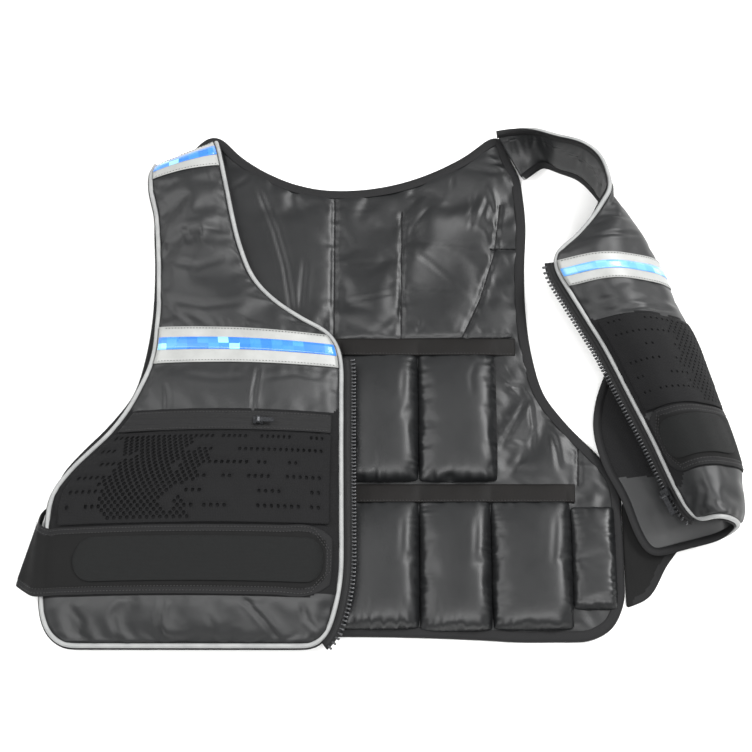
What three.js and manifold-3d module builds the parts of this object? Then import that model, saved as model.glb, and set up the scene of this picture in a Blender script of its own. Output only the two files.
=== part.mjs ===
// A weighted vest lying open on a flat surface, in millimetres.
// The back panel lies with its lining up, the right front is turned over onto it, and the left front
// stands on its armhole edge at the shoulder and is rolled into a tube below the chest.
// +X points to the left front, +Y to the shoulders, +Z up. The origin is under the middle of the vest.
import * as THREE from "three";
import { mergeVertices } from "three/addons/utils/BufferGeometryUtils.js";
import Module from "manifold-3d";

// Overall sizes
const halfWidth = 262; // centre seam to the outside of the side binding
const length = 500; // hem to the neck point of the shoulder
const clearance = 0.4; // gap between pieces that touch

// Padding
const backThickness = 5;
const frontFill = 12; // front panel over its weights
const strapFill = 7; // front panel over the chest and shoulder
const edgeThickness = 4.6; // front panel where it is sewn flat
const foldThickness = 3; // front panel at the shoulder fold
const crownShare = 0.5; // how full a panel is just inside its edges

// The pile: how high the right front lies over the back, and how high the left front is rolled
const pocketHeight = 15;
const narrowPocketHeight = 9;
const pressed = 0.75; // how far the right front presses the pockets under it
const pocketEdge = 3;
const rollHeight = 66;

// Trim
const bindingWidth = 3.6;
const pipingRadius = 2.2;
const pipingGap = 0.7; // between the piping and a panel's edge, which turns as the front rolls
const tapeThickness = 0.8;
const stripeThickness = 0.5;
const meshThickness = 1.4;
const bandThickness = 2.6;
const bandWidth = 15;
const zipTapeWidth = 9;
const zipTapeThickness = 1;
const zipChainWidth = 4.5;
const zipChainHeight = 2.4;

// Waist straps
const strapThickness = 2;
const padThickness = 1;
const strapFold = 19; // height of the loop that a strap makes round a side

// Zip sliders and their pull tabs
const mainSlider = { long: 12, wide: 8.5, high: 2.6, pullLong: 19, pullWide: 5, pullThick: 1.4, pin: 0.7 };
const pocketSlider = { long: 9, wide: 6.5, high: 2, pullLong: 14, pullWide: 4, pullThick: 1.2, pin: 0.6 };
const pinClearance = 0.3;
const knuckleWall = 0.9;
const earThickness = 1.1;

// Where the trim runs, as shares of a front's length from hem to shoulder
const strapRows = [0.1, 0.236];
const leftStrapRows = [0.12, 0.26];
const rightMeshRows = [0.24, 0.425];
const rightPocketZipRows = [0.425, 0.465];
const rightTapeRows = [0.565, 0.632];
const rightStripeRows = [0.588, 0.612];
const shoulderTapeRows = [0.955, 1];
const shoulderStripeRows = [0.97, 0.988];
const leftMeshRows = [0.264, 0.45];
const leftTapeRows = [0.535, 0.605];
const leftStripeRows = [0.56, 0.583];
const zipRows = [0.02, 0.61];

const colours = {
  satin: { color: 0x2b2c2f, roughness: 0.45, metalness: 0 },
  lining: { color: 0x35363a, roughness: 0.4, metalness: 0 },
  binding: { color: 0x18181a, roughness: 0.7, metalness: 0 },
  piping: { color: 0xc9cac8, roughness: 0.6, metalness: 0 },
  tape: { color: 0xb9bbba, roughness: 0.5, metalness: 0.1 },
  stripe: { color: 0x2f7fe0, roughness: 0.2, metalness: 0 },
  mesh: { color: 0x1d1d1f, roughness: 0.9, metalness: 0 },
  strap: { color: 0x161617, roughness: 0.9, metalness: 0 },
  zip: { color: 0x101011, roughness: 0.5, metalness: 0 },
  metal: { color: 0x3b3c3f, roughness: 0.35, metalness: 0.8 },
};

// Rows of the back panel, from the hem up. Widths are shares of its half width, heights of the length.
// neck is the height of the row where the neck ends at the shoulder, middle on the centre seam, and
// pulled says how far the left shoulder is drawn outwards.
const backRows = [
  { up: 0.0, edge: 0.87, side: -0.006, neck: -0.006, middle: 0.004, pulled: 0 },
  { up: 0.03, edge: 0.945, side: 0.012, neck: 0.022, middle: 0.03, pulled: 0 },
  { up: 0.06, edge: 0.985, side: 0.045, neck: 0.052, middle: 0.06, pulled: 0 },
  { up: 0.12, edge: 1.0, side: 0.12, neck: 0.13, middle: 0.13, pulled: 0 },
  { up: 0.2, edge: 1.0, side: 0.21, neck: 0.22, middle: 0.22, pulled: 0 },
  { up: 0.27, edge: 0.995, side: 0.28, neck: 0.29, middle: 0.29, pulled: 0 },
  { up: 0.33, edge: 0.935, side: 0.33, neck: 0.35, middle: 0.36, pulled: 0 },
  { up: 0.39, edge: 0.86, side: 0.372, neck: 0.41, middle: 0.42, pulled: 0 },
  { up: 0.45, edge: 0.79, side: 0.415, neck: 0.48, middle: 0.49, pulled: 0 },
  { up: 0.52, edge: 0.735, side: 0.46, neck: 0.55, middle: 0.55, pulled: 0 },
  { up: 0.6, edge: 0.7, side: 0.53, neck: 0.63, middle: 0.61, pulled: 0 },
  { up: 0.7, edge: 0.68, side: 0.62, neck: 0.73, middle: 0.68, pulled: 0.1 },
  { up: 0.8, edge: 0.68, side: 0.72, neck: 0.83, middle: 0.75, pulled: 0.3 },
  { up: 0.9, edge: 0.69, side: 0.815, neck: 0.92, middle: 0.815, pulled: 0.6 },
  { up: 1.0, edge: 0.676, side: 0.908, neck: 0.998, middle: 0.878, pulled: 1 },
];
const shoulderAcross = 0.14; // where a row leaves the shoulder for the neck
const neckShare = 0.72; // half width of the neck there, as a share of the row's half width
const neckPull = 0.17;
const neckCurve = 2.1;

// Rows of the right front. zip is its zip and neck edge, side its side and armhole edge. Lifts say how
// far the underside is raised off the back, as shares of a pocket's height.
const rightRows = [
  { up: 0.0, zipX: -0.081, zipY: -0.017, zipLift: 0.3, sideX: -0.932, sideY: -0.015, sideLift: 0.05 },
  { up: 0.02, zipX: -0.046, zipY: 0.0, zipLift: 0.5, sideX: -0.975, sideY: 0.003, sideLift: 0.1 },
  { up: 0.05, zipX: -0.026, zipY: 0.026, zipLift: 0.75, sideX: -0.998, sideY: 0.03, sideLift: 0.25 },
  { up: 0.1, zipX: -0.009, zipY: 0.06, zipLift: 1.05, sideX: -1.008, sideY: 0.066, sideLift: 0.35 },
  { up: 0.168, zipX: 0.004, zipY: 0.124, zipLift: 1.07, sideX: -1.009, sideY: 0.13, sideLift: 0.35 },
  { up: 0.236, zipX: 0.003, zipY: 0.187, zipLift: 1.07, sideX: -1.002, sideY: 0.19, sideLift: 0.35 },
  { up: 0.3, zipX: 0.002, zipY: 0.245, zipLift: 1.07, sideX: -0.991, sideY: 0.252, sideLift: 0.4 },
  { up: 0.36, zipX: 0.001, zipY: 0.301, zipLift: 1.07, sideX: -0.924, sideY: 0.303, sideLift: 0.6 },
  { up: 0.425, zipX: 0.0, zipY: 0.362, zipLift: 1.07, sideX: -0.805, sideY: 0.364, sideLift: 0.85 },
  { up: 0.465, zipX: 0.0, zipY: 0.401, zipLift: 1.07, sideX: -0.744, sideY: 0.406, sideLift: 1.0 },
  { up: 0.515, zipX: -0.001, zipY: 0.453, zipLift: 1.07, sideX: -0.698, sideY: 0.453, sideLift: 1.05 },
  { up: 0.565, zipX: -0.001, zipY: 0.496, zipLift: 1.07, sideX: -0.66, sideY: 0.505, sideLift: 1.0 },
  { up: 0.61, zipX: -0.016, zipY: 0.538, zipLift: 1.07, sideX: -0.646, sideY: 0.554, sideLift: 0.95 },
  { up: 0.632, zipX: -0.042, zipY: 0.561, zipLift: 1.07, sideX: -0.646, sideY: 0.58, sideLift: 0.85 },
  { up: 0.67, zipX: -0.14, zipY: 0.593, zipLift: 1.05, sideX: -0.643, sideY: 0.622, sideLift: 0.7 },
  { up: 0.71, zipX: -0.231, zipY: 0.626, zipLift: 1.05, sideX: -0.646, sideY: 0.66, sideLift: 0.62 },
  { up: 0.76, zipX: -0.317, zipY: 0.674, zipLift: 1.0, sideX: -0.651, sideY: 0.713, sideLift: 0.55 },
  { up: 0.82, zipX: -0.376, zipY: 0.746, zipLift: 0.95, sideX: -0.66, sideY: 0.777, sideLift: 0.5 },
  { up: 0.88, zipX: -0.413, zipY: 0.822, zipLift: 0.85, sideX: -0.672, sideY: 0.832, sideLift: 0.48 },
  { up: 0.93, zipX: -0.44, zipY: 0.89, zipLift: 0.75, sideX: -0.694, sideY: 0.876, sideLift: 0.5 },
  { up: 0.965, zipX: -0.46, zipY: 0.938, zipLift: 0.6, sideX: -0.698, sideY: 0.905, sideLift: 0.48 },
  { up: 0.985, zipX: -0.472, zipY: 0.966, zipLift: 0.4, sideX: -0.693, sideY: 0.922, sideLift: 0.33 },
  { up: 1.0, zipX: -0.482, zipY: 0.986, zipLift: 0.0, sideX: -0.687, sideY: 0.935, sideLift: 0.0 },
];
const rightBulge = 0.5; // how far the middle of the right front is raised above its edges

// Rows of the left front's outer face. neck is its zip and neck edge, out the outermost line of the roll
// and side its side and armhole edge. Heights are shares of the roll's height, and roll says how far the
// row is rolled rather than standing straight. The first row is worked out from the back's shoulder.
const leftRows = [
  { up: 1.02, neckX: 0.728, neckY: 0.98, neckZ: 0.62, outX: 0.747, outY: 0.969, outZ: 0.33,
    sideX: 0.766, sideY: 0.953, sideZ: 0.08, roll: 0 },
  { up: 0.97, neckX: 0.808, neckY: 0.957, neckZ: 0.76, outX: 0.819, outY: 0.949, outZ: 0.4,
    sideX: 0.83, sideY: 0.938, sideZ: 0.08, roll: 0 },
  { up: 0.92, neckX: 0.897, neckY: 0.94, neckZ: 0.82, outX: 0.903, outY: 0.933, outZ: 0.43,
    sideX: 0.908, sideY: 0.922, sideZ: 0.08, roll: 0 },
  { up: 0.87, neckX: 0.966, neckY: 0.905, neckZ: 0.84, outX: 0.967, outY: 0.9, outZ: 0.43,
    sideX: 0.966, sideY: 0.889, sideZ: 0.08, roll: 0 },
  { up: 0.82, neckX: 0.997, neckY: 0.84, neckZ: 0.84, outX: 1.01, outY: 0.848, outZ: 0.43,
    sideX: 1.006, sideY: 0.852, sideZ: 0.08, roll: 0.15 },
  { up: 0.78, neckX: 0.957, neckY: 0.8, neckZ: 0.84, outX: 1.062, outY: 0.805, outZ: 0.43,
    sideX: 1.035, sideY: 0.812, sideZ: 0.08, roll: 0.5 },
  { up: 0.7, neckX: 0.87, neckY: 0.745, neckZ: 0.83, outX: 1.123, outY: 0.75, outZ: 0.45,
    sideX: 1.05, sideY: 0.733, sideZ: 0.07, roll: 0.9 },
  { up: 0.61, neckX: 0.785, neckY: 0.696, neckZ: 0.79, outX: 1.158, outY: 0.709, outZ: 0.46,
    sideX: 1.06, sideY: 0.678, sideZ: 0.06, roll: 1 },
  { up: 0.5, neckX: 0.856, neckY: 0.616, neckZ: 0.73, outX: 1.221, outY: 0.62, outZ: 0.46,
    sideX: 1.043, sideY: 0.58, sideZ: 0.05, roll: 1 },
  { up: 0.4, neckX: 0.95, neckY: 0.528, neckZ: 0.68, outX: 1.287, outY: 0.533, outZ: 0.46,
    sideX: 0.952, sideY: 0.453, sideZ: 0.08, roll: 1 },
  { up: 0.3, neckX: 1.037, neckY: 0.427, neckZ: 0.65, outX: 1.339, outY: 0.436, outZ: 0.46,
    sideX: 0.929, sideY: 0.389, sideZ: 0.1, roll: 1 },
  { up: 0.2, neckX: 1.107, neckY: 0.344, neckZ: 0.64, outX: 1.382, outY: 0.358, outZ: 0.46,
    sideX: 0.952, sideY: 0.326, sideZ: 0.1, roll: 1 },
  { up: 0.1, neckX: 1.168, neckY: 0.263, neckZ: 0.62, outX: 1.413, outY: 0.275, outZ: 0.46,
    sideX: 1.017, sideY: 0.253, sideZ: 0.1, roll: 1 },
  { up: 0.03, neckX: 1.208, neckY: 0.217, neckZ: 0.62, outX: 1.412, outY: 0.219, outZ: 0.46,
    sideX: 1.06, sideY: 0.186, sideZ: 0.08, roll: 1 },
  { up: 0.0, neckX: 1.236, neckY: 0.197, neckZ: 0.64, outX: 1.399, outY: 0.194, outZ: 0.45,
    sideX: 1.098, sideY: 0.154, sideZ: 0.05, roll: 1 },
].reverse();
const leftShoulderUp = 1.08;
const leftShoulderLift = 1.2; // underside of the strap where it is sewn to the back
// Places across the left front: its neck edge, the roll's crown, its outermost line, the floor, its edge
const rollKnots = [0, 0.25, 0.48, 0.64, 1];
const crownAcross = 0.42;
const floorAcross = 0.18;
const floorHeight = 3.4; // underside of the roll, over the strap that lies beneath it

// Weight pockets, as shares of the half width and the length. Each is made on both sides of the seam.
const pocketPlaces = [
  { name: "lower_pocket_1", inner: 0, outer: 0.29, low: 0.014, high: 0.246, full: 1 },
  { name: "lower_pocket_2", inner: 0.29, outer: 0.545, low: 0.01, high: 0.246, full: 1 },
  { name: "lower_pocket_3", inner: 0.545, outer: 0.83, low: 0.012, high: 0.246, full: 1 },
  { name: "lower_pocket_side", inner: 0.83, outer: 0.985, low: 0.05, high: 0.236, full: 0 },
  { name: "upper_pocket_1", inner: 0, outer: 0.29, low: 0.29, high: 0.535, full: 1 },
  { name: "upper_pocket_2", inner: 0.29, outer: 0.575, low: 0.29, high: 0.535, full: 1 },
];
const pocketGap = 3; // between neighbouring pockets

// Loops that the straps make beyond the fronts, from the front's edge to the back's side. upper and lower
// are the strap's two edges, and heights are shares of the strap's fold.
const rightWrap = [
  { upperX: -1.034, upperY: 0.198, upperZ: 0.9, lowerX: -1.045, lowerY: 0.066, lowerZ: 0.87 },
  { upperX: -1.044, upperY: 0.214, upperZ: 0.55, lowerX: -1.088, lowerY: 0.08, lowerZ: 0.45 },
  { upperX: -1.04, upperY: 0.228, upperZ: 0.26, lowerX: -1.116, lowerY: 0.092, lowerZ: 0.22 },
  { upperX: -1.026, upperY: 0.238, upperZ: 0.085, lowerX: -1.1, lowerY: 0.088, lowerZ: 0.085 },
];
const leftWing = [
  { upperX: 1.19, upperY: 0.335, lowerX: 1.245, lowerY: 0.2 },
  { upperX: 1.1, upperY: 0.285, lowerX: 1.15, lowerY: 0.13 },
  { upperX: 1.035, upperY: 0.25, lowerX: 1.066, lowerY: 0.065 },
];
const wingEnd = { upperY: 0.246, lowerY: 0.051 };

const vec = (x, y, z) => new THREE.Vector3(x, y, z);
const mix = (a, b, share) => a + (b - a) * share;
const backHalf = halfWidth - bindingWidth - clearance;
const pileBase = backThickness + clearance;

// A smooth value through the knots and values of a table's column, which never overshoots them
function smooth(knots, values, at) {
  const last = knots.length - 1;
  const steep = (k) => (values[k + 1] - values[k]) / (knots[k + 1] - knots[k]);
  const slope = (k) => {
    if (k === 0) return steep(0);
    if (k === last) return steep(last - 1);
    const [before, after] = [steep(k - 1), steep(k)];
    return before * after <= 0 ? 0 : (2 * before * after) / (before + after);
  };
  let i = 0;
  while (i < last - 1 && knots[i + 1] <= at) i++;
  const span = knots[i + 1] - knots[i];
  const t = (at - knots[i]) / span;
  const rise = t * t * (3 - 2 * t);
  return mix(values[i], values[i + 1], rise)
    + span * (slope(i) * t * (1 - t) * (1 - t) - slope(i + 1) * t * t * (1 - t));
}

function fromRows(rows, name, up) {
  return smooth(rows.map((row) => row.up), rows.map((row) => row[name]), up);
}

// A surface is a grid of points with outward normals; facing is 1 or -1
function surface(ups, acrosses, facing, place) {
  const points = ups.map((up) => acrosses.map((across) => place(up, across)));
  return { ups, acrosses, points, normals: normalsOf(points, facing) };
}

function normalsOf(points, facing) {
  const rows = points.length - 1;
  const columns = points[0].length - 1;
  return points.map((row, i) => row.map((point, j) => {
    const along = points[Math.min(rows, i + 1)][j].clone().sub(points[Math.max(0, i - 1)][j]);
    const over = row[Math.min(columns, j + 1)].clone().sub(row[Math.max(0, j - 1)]);
    return along.cross(over).normalize().multiplyScalar(facing);
  }));
}

function cellOf(values, at) {
  let i = 0;
  while (i < values.length - 2 && values[i + 1] <= at) i++;
  return [i, (at - values[i]) / (values[i + 1] - values[i])];
}

// A point on the surface, raised by lift along its normal
function onSurface(face, up, across, lift) {
  const [i, f] = cellOf(face.ups, up);
  const [j, g] = cellOf(face.acrosses, across);
  const blend = (grid) => grid[i][j].clone().lerp(grid[i + 1][j], f)
    .lerp(grid[i][j + 1].clone().lerp(grid[i + 1][j + 1], f), g);
  return blend(face.points).addScaledVector(blend(face.normals).normalize(), lift);
}

function linesBetween(values, low, high) {
  return [low, ...values.filter((value) => value > low + 0.004 && value < high - 0.004), high];
}

// A closed body from triangles, turned the right way round
function body(vertices, triangles) {
  const volume = triangles.reduce((sum, [a, b, c]) => (
    sum + vertices[a].dot(vertices[b].clone().cross(vertices[c]))), 0);
  const faces = volume < 0 ? triangles.map(([a, b, c]) => [a, c, b]) : triangles;
  const geometry = new THREE.BufferGeometry();
  geometry.setAttribute("position", new THREE.Float32BufferAttribute(vertices.flatMap((v) => v.toArray()), 3));
  geometry.setIndex(faces.flat());
  geometry.computeVertexNormals();
  return geometry;
}

// The body between two grids of points
function slab(top, bottom) {
  const rows = top.length;
  const columns = top[0].length;
  const vertices = [...top.flat(), ...bottom.flat()];
  const under = rows * columns;
  const at = (i, j) => i * columns + j;
  const triangles = [];
  const quad = (a, b, c, d) => triangles.push([a, b, c], [a, c, d]);
  for (let i = 0; i < rows - 1; i++) {
    for (let j = 0; j < columns - 1; j++) {
      quad(at(i, j), at(i + 1, j), at(i + 1, j + 1), at(i, j + 1));
      quad(under + at(i, j), under + at(i, j + 1), under + at(i + 1, j + 1), under + at(i + 1, j));
    }
  }
  const wall = (a, b) => quad(a, b, under + b, under + a);
  for (let i = 0; i < rows - 1; i++) {
    wall(at(i + 1, 0), at(i, 0));
    wall(at(i, columns - 1), at(i + 1, columns - 1));
  }
  for (let j = 0; j < columns - 1; j++) {
    wall(at(0, j), at(0, j + 1));
    wall(at(rows - 1, j + 1), at(rows - 1, j));
  }
  return body(vertices, triangles);
}

// A flat piece laid on a surface; roundEnd is the share of its length that each rounded end takes
function patch(face, { ups, acrosses, lift = clearance, thickness, roundEnd = 0 }) {
  const columns = linesBetween(face.acrosses, ...acrosses);
  const rows = linesBetween(face.ups, ...ups);
  const middle = (ups[0] + ups[1]) / 2;
  const shrink = (across) => {
    if (!roundEnd) return 1;
    const share = (across - acrosses[0]) / (acrosses[1] - acrosses[0]);
    const inside = Math.min(1, Math.min(share, 1 - share) / roundEnd);
    return Math.max(0.35, Math.sqrt(1 - (1 - inside) ** 2));
  };
  const layer = (height) => rows.map((up) => columns.map((across) => (
    onSurface(face, middle + (up - middle) * shrink(across), across, height))));
  return slab(layer(lift + thickness), layer(lift));
}

// A body swept along a line of places, each with its point, its way out of the edge and its normal.
// The profile's corners are [outwards, upwards].
function sweep(places, profile, closed = false) {
  const rings = places.map((place) => profile.map(([out, up]) => place.point.clone()
    .addScaledVector(place.out, out).addScaledVector(place.normal, up)));
  const sides = profile.length;
  const triangles = [];
  const at = (i, k) => (i % rings.length) * sides + (k % sides);
  const steps = closed ? rings.length : rings.length - 1;
  for (let i = 0; i < steps; i++) {
    for (let k = 0; k < sides; k++) {
      triangles.push([at(i, k), at(i, k + 1), at(i + 1, k + 1)], [at(i, k), at(i + 1, k + 1), at(i + 1, k)]);
    }
  }
  if (!closed) {
    for (let k = 1; k < sides - 1; k++) {
      triangles.push([at(0, 0), at(0, k + 1), at(0, k)]);
      triangles.push([at(rings.length - 1, 0), at(rings.length - 1, k), at(rings.length - 1, k + 1)]);
    }
  }
  return body(rings.flat(), triangles);
}

// The places along a panel's edge wall, with a mitre where the edge turns
function edgePlaces(walls, facing, closed = false) {
  const count = walls.length;
  const pointAt = (k) => walls[(k + count) % count].middle;
  return walls.map((wall, k) => {
    const first = !closed && k === 0;
    const last = !closed && k === count - 1;
    const before = first ? null : wall.middle.clone().sub(pointAt(k - 1)).normalize();
    const after = last ? null : pointAt(k + 1).clone().sub(wall.middle).normalize();
    const along = (before ?? after).clone().add(after ?? before).normalize();
    const halfTurn = Math.sqrt((1 + (before ?? after).dot(after ?? before)) / 2);
    const normal = wall.rise.clone().addScaledVector(along, -wall.rise.dot(along)).normalize();
    const out = along.clone().cross(normal).multiplyScalar(facing / Math.max(0.7, halfTurn));
    return { point: wall.middle.clone(), out, normal };
  });
}

function wallOf(top, bottom, i, j) {
  const middle = top[i][j].clone().lerp(bottom[i][j], 0.5);
  return { middle, rise: top[i][j].clone().sub(bottom[i][j]).normalize() };
}

function roundProfile(radius, out, sides = 6) {
  return Array.from({ length: sides }, (_, k) => {
    const angle = (2 * Math.PI * (k + 0.5)) / sides;
    return [out + radius * Math.cos(angle), radius * Math.sin(angle)];
  });
}

const boxProfile = (near, far, low, high) => [[near, low], [far, low], [far, high], [near, high]];

const vest = new THREE.Group();

function add(name, geometry, finish, parent = vest) {
  const mesh = new THREE.Mesh(geometry, new THREE.MeshStandardMaterial(colours[finish]));
  mesh.name = name;
  parent.add(mesh);
  return mesh;
}

// Back panel
function backPlace(up, across) {
  const edge = fromRows(backRows, "edge", up) * backHalf;
  const neckLeft = neckShare * edge;
  const neckRight = (neckShare + neckPull * fromRows(backRows, "pulled", up)) * edge;
  const side = fromRows(backRows, "side", up) * length;
  const neck = fromRows(backRows, "neck", up) * length;
  const middle = fromRows(backRows, "middle", up) * length;
  const sign = across < 0.5 ? -1 : 1;
  const neckHalf = across < 0.5 ? neckLeft : neckRight;
  const fromEdge = Math.min(across, 1 - across);
  if (fromEdge < shoulderAcross) {
    const share = fromEdge / shoulderAcross;
    return vec(sign * mix(edge, neckHalf, share), mix(side, neck, share), backThickness);
  }
  const share = (0.5 - fromEdge) / (0.5 - shoulderAcross);
  return vec(sign * neckHalf * share, mix(middle, neck, share ** neckCurve), backThickness);
}

const backUps = [0, 0.015, 0.03, 0.06, 0.12, 0.2, 0.27, 0.3, 0.33, 0.36, 0.39, 0.45, 0.52, 0.6, 0.7, 0.8, 0.9, 1];
const halfAcrosses = [0, 0.07, shoulderAcross, 0.21, 0.28, 0.36, 0.43];
const backAcrosses = [...halfAcrosses, 0.5, ...halfAcrosses.map((across) => 1 - across).reverse()];
const backFace = surface(backUps, backAcrosses, -1, backPlace);
const backBottom = backFace.points.map((row) => row.map((point) => vec(point.x, point.y, 0)));
add("back_panel", slab(backFace.points, backBottom), "lining");

const backEdge = [];
const backWall = (i, j) => backEdge.push(wallOf(backFace.points, backBottom, i, j));
for (let j = 0; j < backAcrosses.length; j++) backWall(0, j);
for (let i = 1; i < backUps.length; i++) backWall(i, backAcrosses.length - 1);
for (let j = backAcrosses.length - 2; j >= 0; j--) backWall(backUps.length - 1, j);
for (let i = backUps.length - 2; i > 0; i--) backWall(i, 0);
const bindingHalf = backThickness / 2;
const bindingProfile = [
  [clearance, -bindingHalf], [clearance + bindingWidth * 0.7, -bindingHalf],
  [clearance + bindingWidth, 0], [clearance + bindingWidth * 0.7, bindingHalf], [clearance, bindingHalf],
];
add("back_edge_binding", sweep(edgePlaces(backEdge, 1, true), bindingProfile, true), "binding");

// Weight pockets: filled bags sewn to the lining
function filledBag(x0, x1, y0, y1, height) {
  const steps = [-1, -0.78, -0.34, 0.34, 0.78, 1];
  const cornerPull = 0.05;
  const place = (u, v, z) => vec(
    mix(x0, x1, (1 + u * (1 - cornerPull * v ** 4)) / 2),
    mix(y0, y1, (1 + v * (1 - cornerPull * u ** 4)) / 2),
    z,
  );
  const crown = (u, v) => Math.sqrt((1 - u ** 4) * (1 - v ** 4));
  const top = steps.map((v) => steps.map((u) => (
    place(u, v, pileBase + mix(pocketEdge, height, crown(u, v))))));
  const bottom = steps.map((v) => steps.map((u) => place(u, v, pileBase)));
  return slab(top, bottom);
}

for (const side of [-1, 1]) {
  for (const place of pocketPlaces) {
    const edges = [place.inner, place.outer].map((share) => side * share * backHalf);
    const x0 = Math.min(...edges) + pocketGap / 2;
    const x1 = Math.max(...edges) - pocketGap / 2;
    const height = (place.full ? pocketHeight : narrowPocketHeight) * (side < 0 ? pressed : 1);
    const name = `${side < 0 ? "right" : "left"}_${place.name}`;
    add(name, filledBag(x0, x1, place.low * length, place.high * length, height), "lining");
  }
}

// Elastic bands above the pockets
function band(name, halfSpan, low) {
  const geometry = new THREE.BoxGeometry(2 * halfSpan, bandWidth, bandThickness);
  const mesh = add(name, geometry, "binding");
  mesh.position.set(0, low + bandWidth / 2, pileBase + bandThickness / 2);
}
const lowerPockets = pocketPlaces[2];
const upperPockets = pocketPlaces[5];
band("lower_pocket_band", lowerPockets.outer * backHalf, lowerPockets.high * length + clearance);
band("upper_pocket_band", upperPockets.outer * backHalf, upperPockets.high * length + clearance);

// How thick a front panel is
function panelThickness(up, across, edge) {
  const fill = mix(frontFill, strapFill, THREE.MathUtils.smoothstep(up, 0.4, 0.6));
  const fromSide = Math.max(0, Math.sin(Math.PI * across)) ** crownShare;
  const fromHem = Math.min(1, up / 0.07) ** crownShare;
  const fromFold = Math.min(1, Math.max(0, 1 - up) / 0.05) ** crownShare;
  return mix(edge, fill, fromSide * fromHem * fromFold);
}

// Right front, over the back
const rightAcrosses = [0, 0.03, 0.09, 0.2, 0.32, 0.44, 0.56, 0.68, 0.8, 0.91, 0.97, 1];
const rightUps = [
  0, 0.02, 0.05, 0.1, 0.145, 0.19, 0.236, 0.3, 0.36, 0.395, 0.425, 0.465, 0.515, 0.565, 0.588, 0.612, 0.632,
  0.67, 0.71, 0.76, 0.82, 0.88, 0.92, 0.955, 0.97, 0.988, 1,
];

function rightUnder(up, across) {
  const row = (name) => fromRows(rightRows, name, up);
  const bulge = rightBulge * Math.sin(Math.PI * across) * Math.min(1, up / 0.1) * Math.min(1, (1 - up) / 0.1);
  return vec(
    mix(row("zipX"), row("sideX"), across) * halfWidth,
    mix(row("zipY"), row("sideY"), across) * length,
    pileBase + pocketHeight * Math.max(0, mix(row("zipLift"), row("sideLift"), across) + bulge),
  );
}

function rightPlace(up, across) {
  const edge = mix(edgeThickness, foldThickness, THREE.MathUtils.smoothstep(up, 0.93, 1));
  const under = rightUnder(up, across);
  return under.setZ(under.z + panelThickness(up, across, edge));
}

const rightFace = surface(rightUps, rightAcrosses, 1, rightPlace);
const rightBottom = rightUps.map((up) => rightAcrosses.map((across) => rightUnder(up, across)));
add("right_front_panel", slab(rightFace.points, rightBottom), "satin");

// Left front, standing and rolled beside the back
const leftAcrosses = [0, 0.03, 0.09, 0.15, 0.21, 0.28, 0.35, 0.42, 0.48, 0.54, 0.6, 0.68, 0.8, 0.92, 1];
const leftUps = [
  0, 0.02, 0.05, 0.085, 0.12, 0.165, 0.21, 0.26, 0.3, 0.35, 0.4, 0.45, 0.5, 0.535, 0.56, 0.583, 0.605,
  0.63, 0.66, 0.68, 0.7, 0.72, 0.74, 0.76, 0.78, 0.82, 0.845, 0.87, 0.92, 0.97, 1.02, 1.05, leftShoulderUp,
];

function shoulderRow() {
  const neck = backPlace(1, 1 - shoulderAcross);
  const side = backPlace(1, 1);
  const along = side.clone().sub(neck).normalize();
  const seam = bindingWidth + 2 * clearance;
  const beside = (point) => vec(point.x - along.y * seam, point.y + along.x * seam, 0);
  const [neckPoint, sidePoint] = [beside(neck), beside(side)];
  const outPoint = neckPoint.clone().lerp(sidePoint, 0.5);
  const height = (leftShoulderLift + edgeThickness) / rollHeight;
  return {
    up: leftShoulderUp, roll: 0,
    neckX: neckPoint.x / halfWidth, neckY: neckPoint.y / length, neckZ: height,
    outX: outPoint.x / halfWidth, outY: outPoint.y / length, outZ: height,
    sideX: sidePoint.x / halfWidth, sideY: sidePoint.y / length, sideZ: height,
  };
}
const leftTable = [...leftRows, shoulderRow()];

function leftPlace(up, across) {
  const row = (name) => fromRows(leftTable, name, up);
  const point = (key) => vec(row(`${key}X`) * halfWidth, row(`${key}Y`) * length, row(`${key}Z`) * rollHeight);
  const [neck, out, side] = [point("neck"), point("out"), point("side")];
  const roll = THREE.MathUtils.clamp(row("roll"), 0, 1);
  const crown = neck.clone().lerp(out, mix(0.5, crownAcross, roll));
  crown.z = mix(crown.z, rollHeight, roll);
  const floor = out.clone().lerp(side, mix(0.5, floorAcross, roll));
  floor.z = mix(floor.z, floorHeight, roll);
  const knots = [neck, crown, out, floor, side];
  const [x, y, z] = ["x", "y", "z"].map((axis) => (
    smooth(rollKnots, knots.map((knot) => knot[axis]), across)));
  return vec(x, y, z);
}

const leftFace = surface(leftUps, leftAcrosses, -1, leftPlace);
const leftBottom = leftFace.points.map((row, i) => row.map((point, j) => point.clone()
  .addScaledVector(leftFace.normals[i][j], -panelThickness(leftUps[i], leftAcrosses[j], edgeThickness))));
add("left_front_panel", slab(leftFace.points, leftBottom), "satin");

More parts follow.
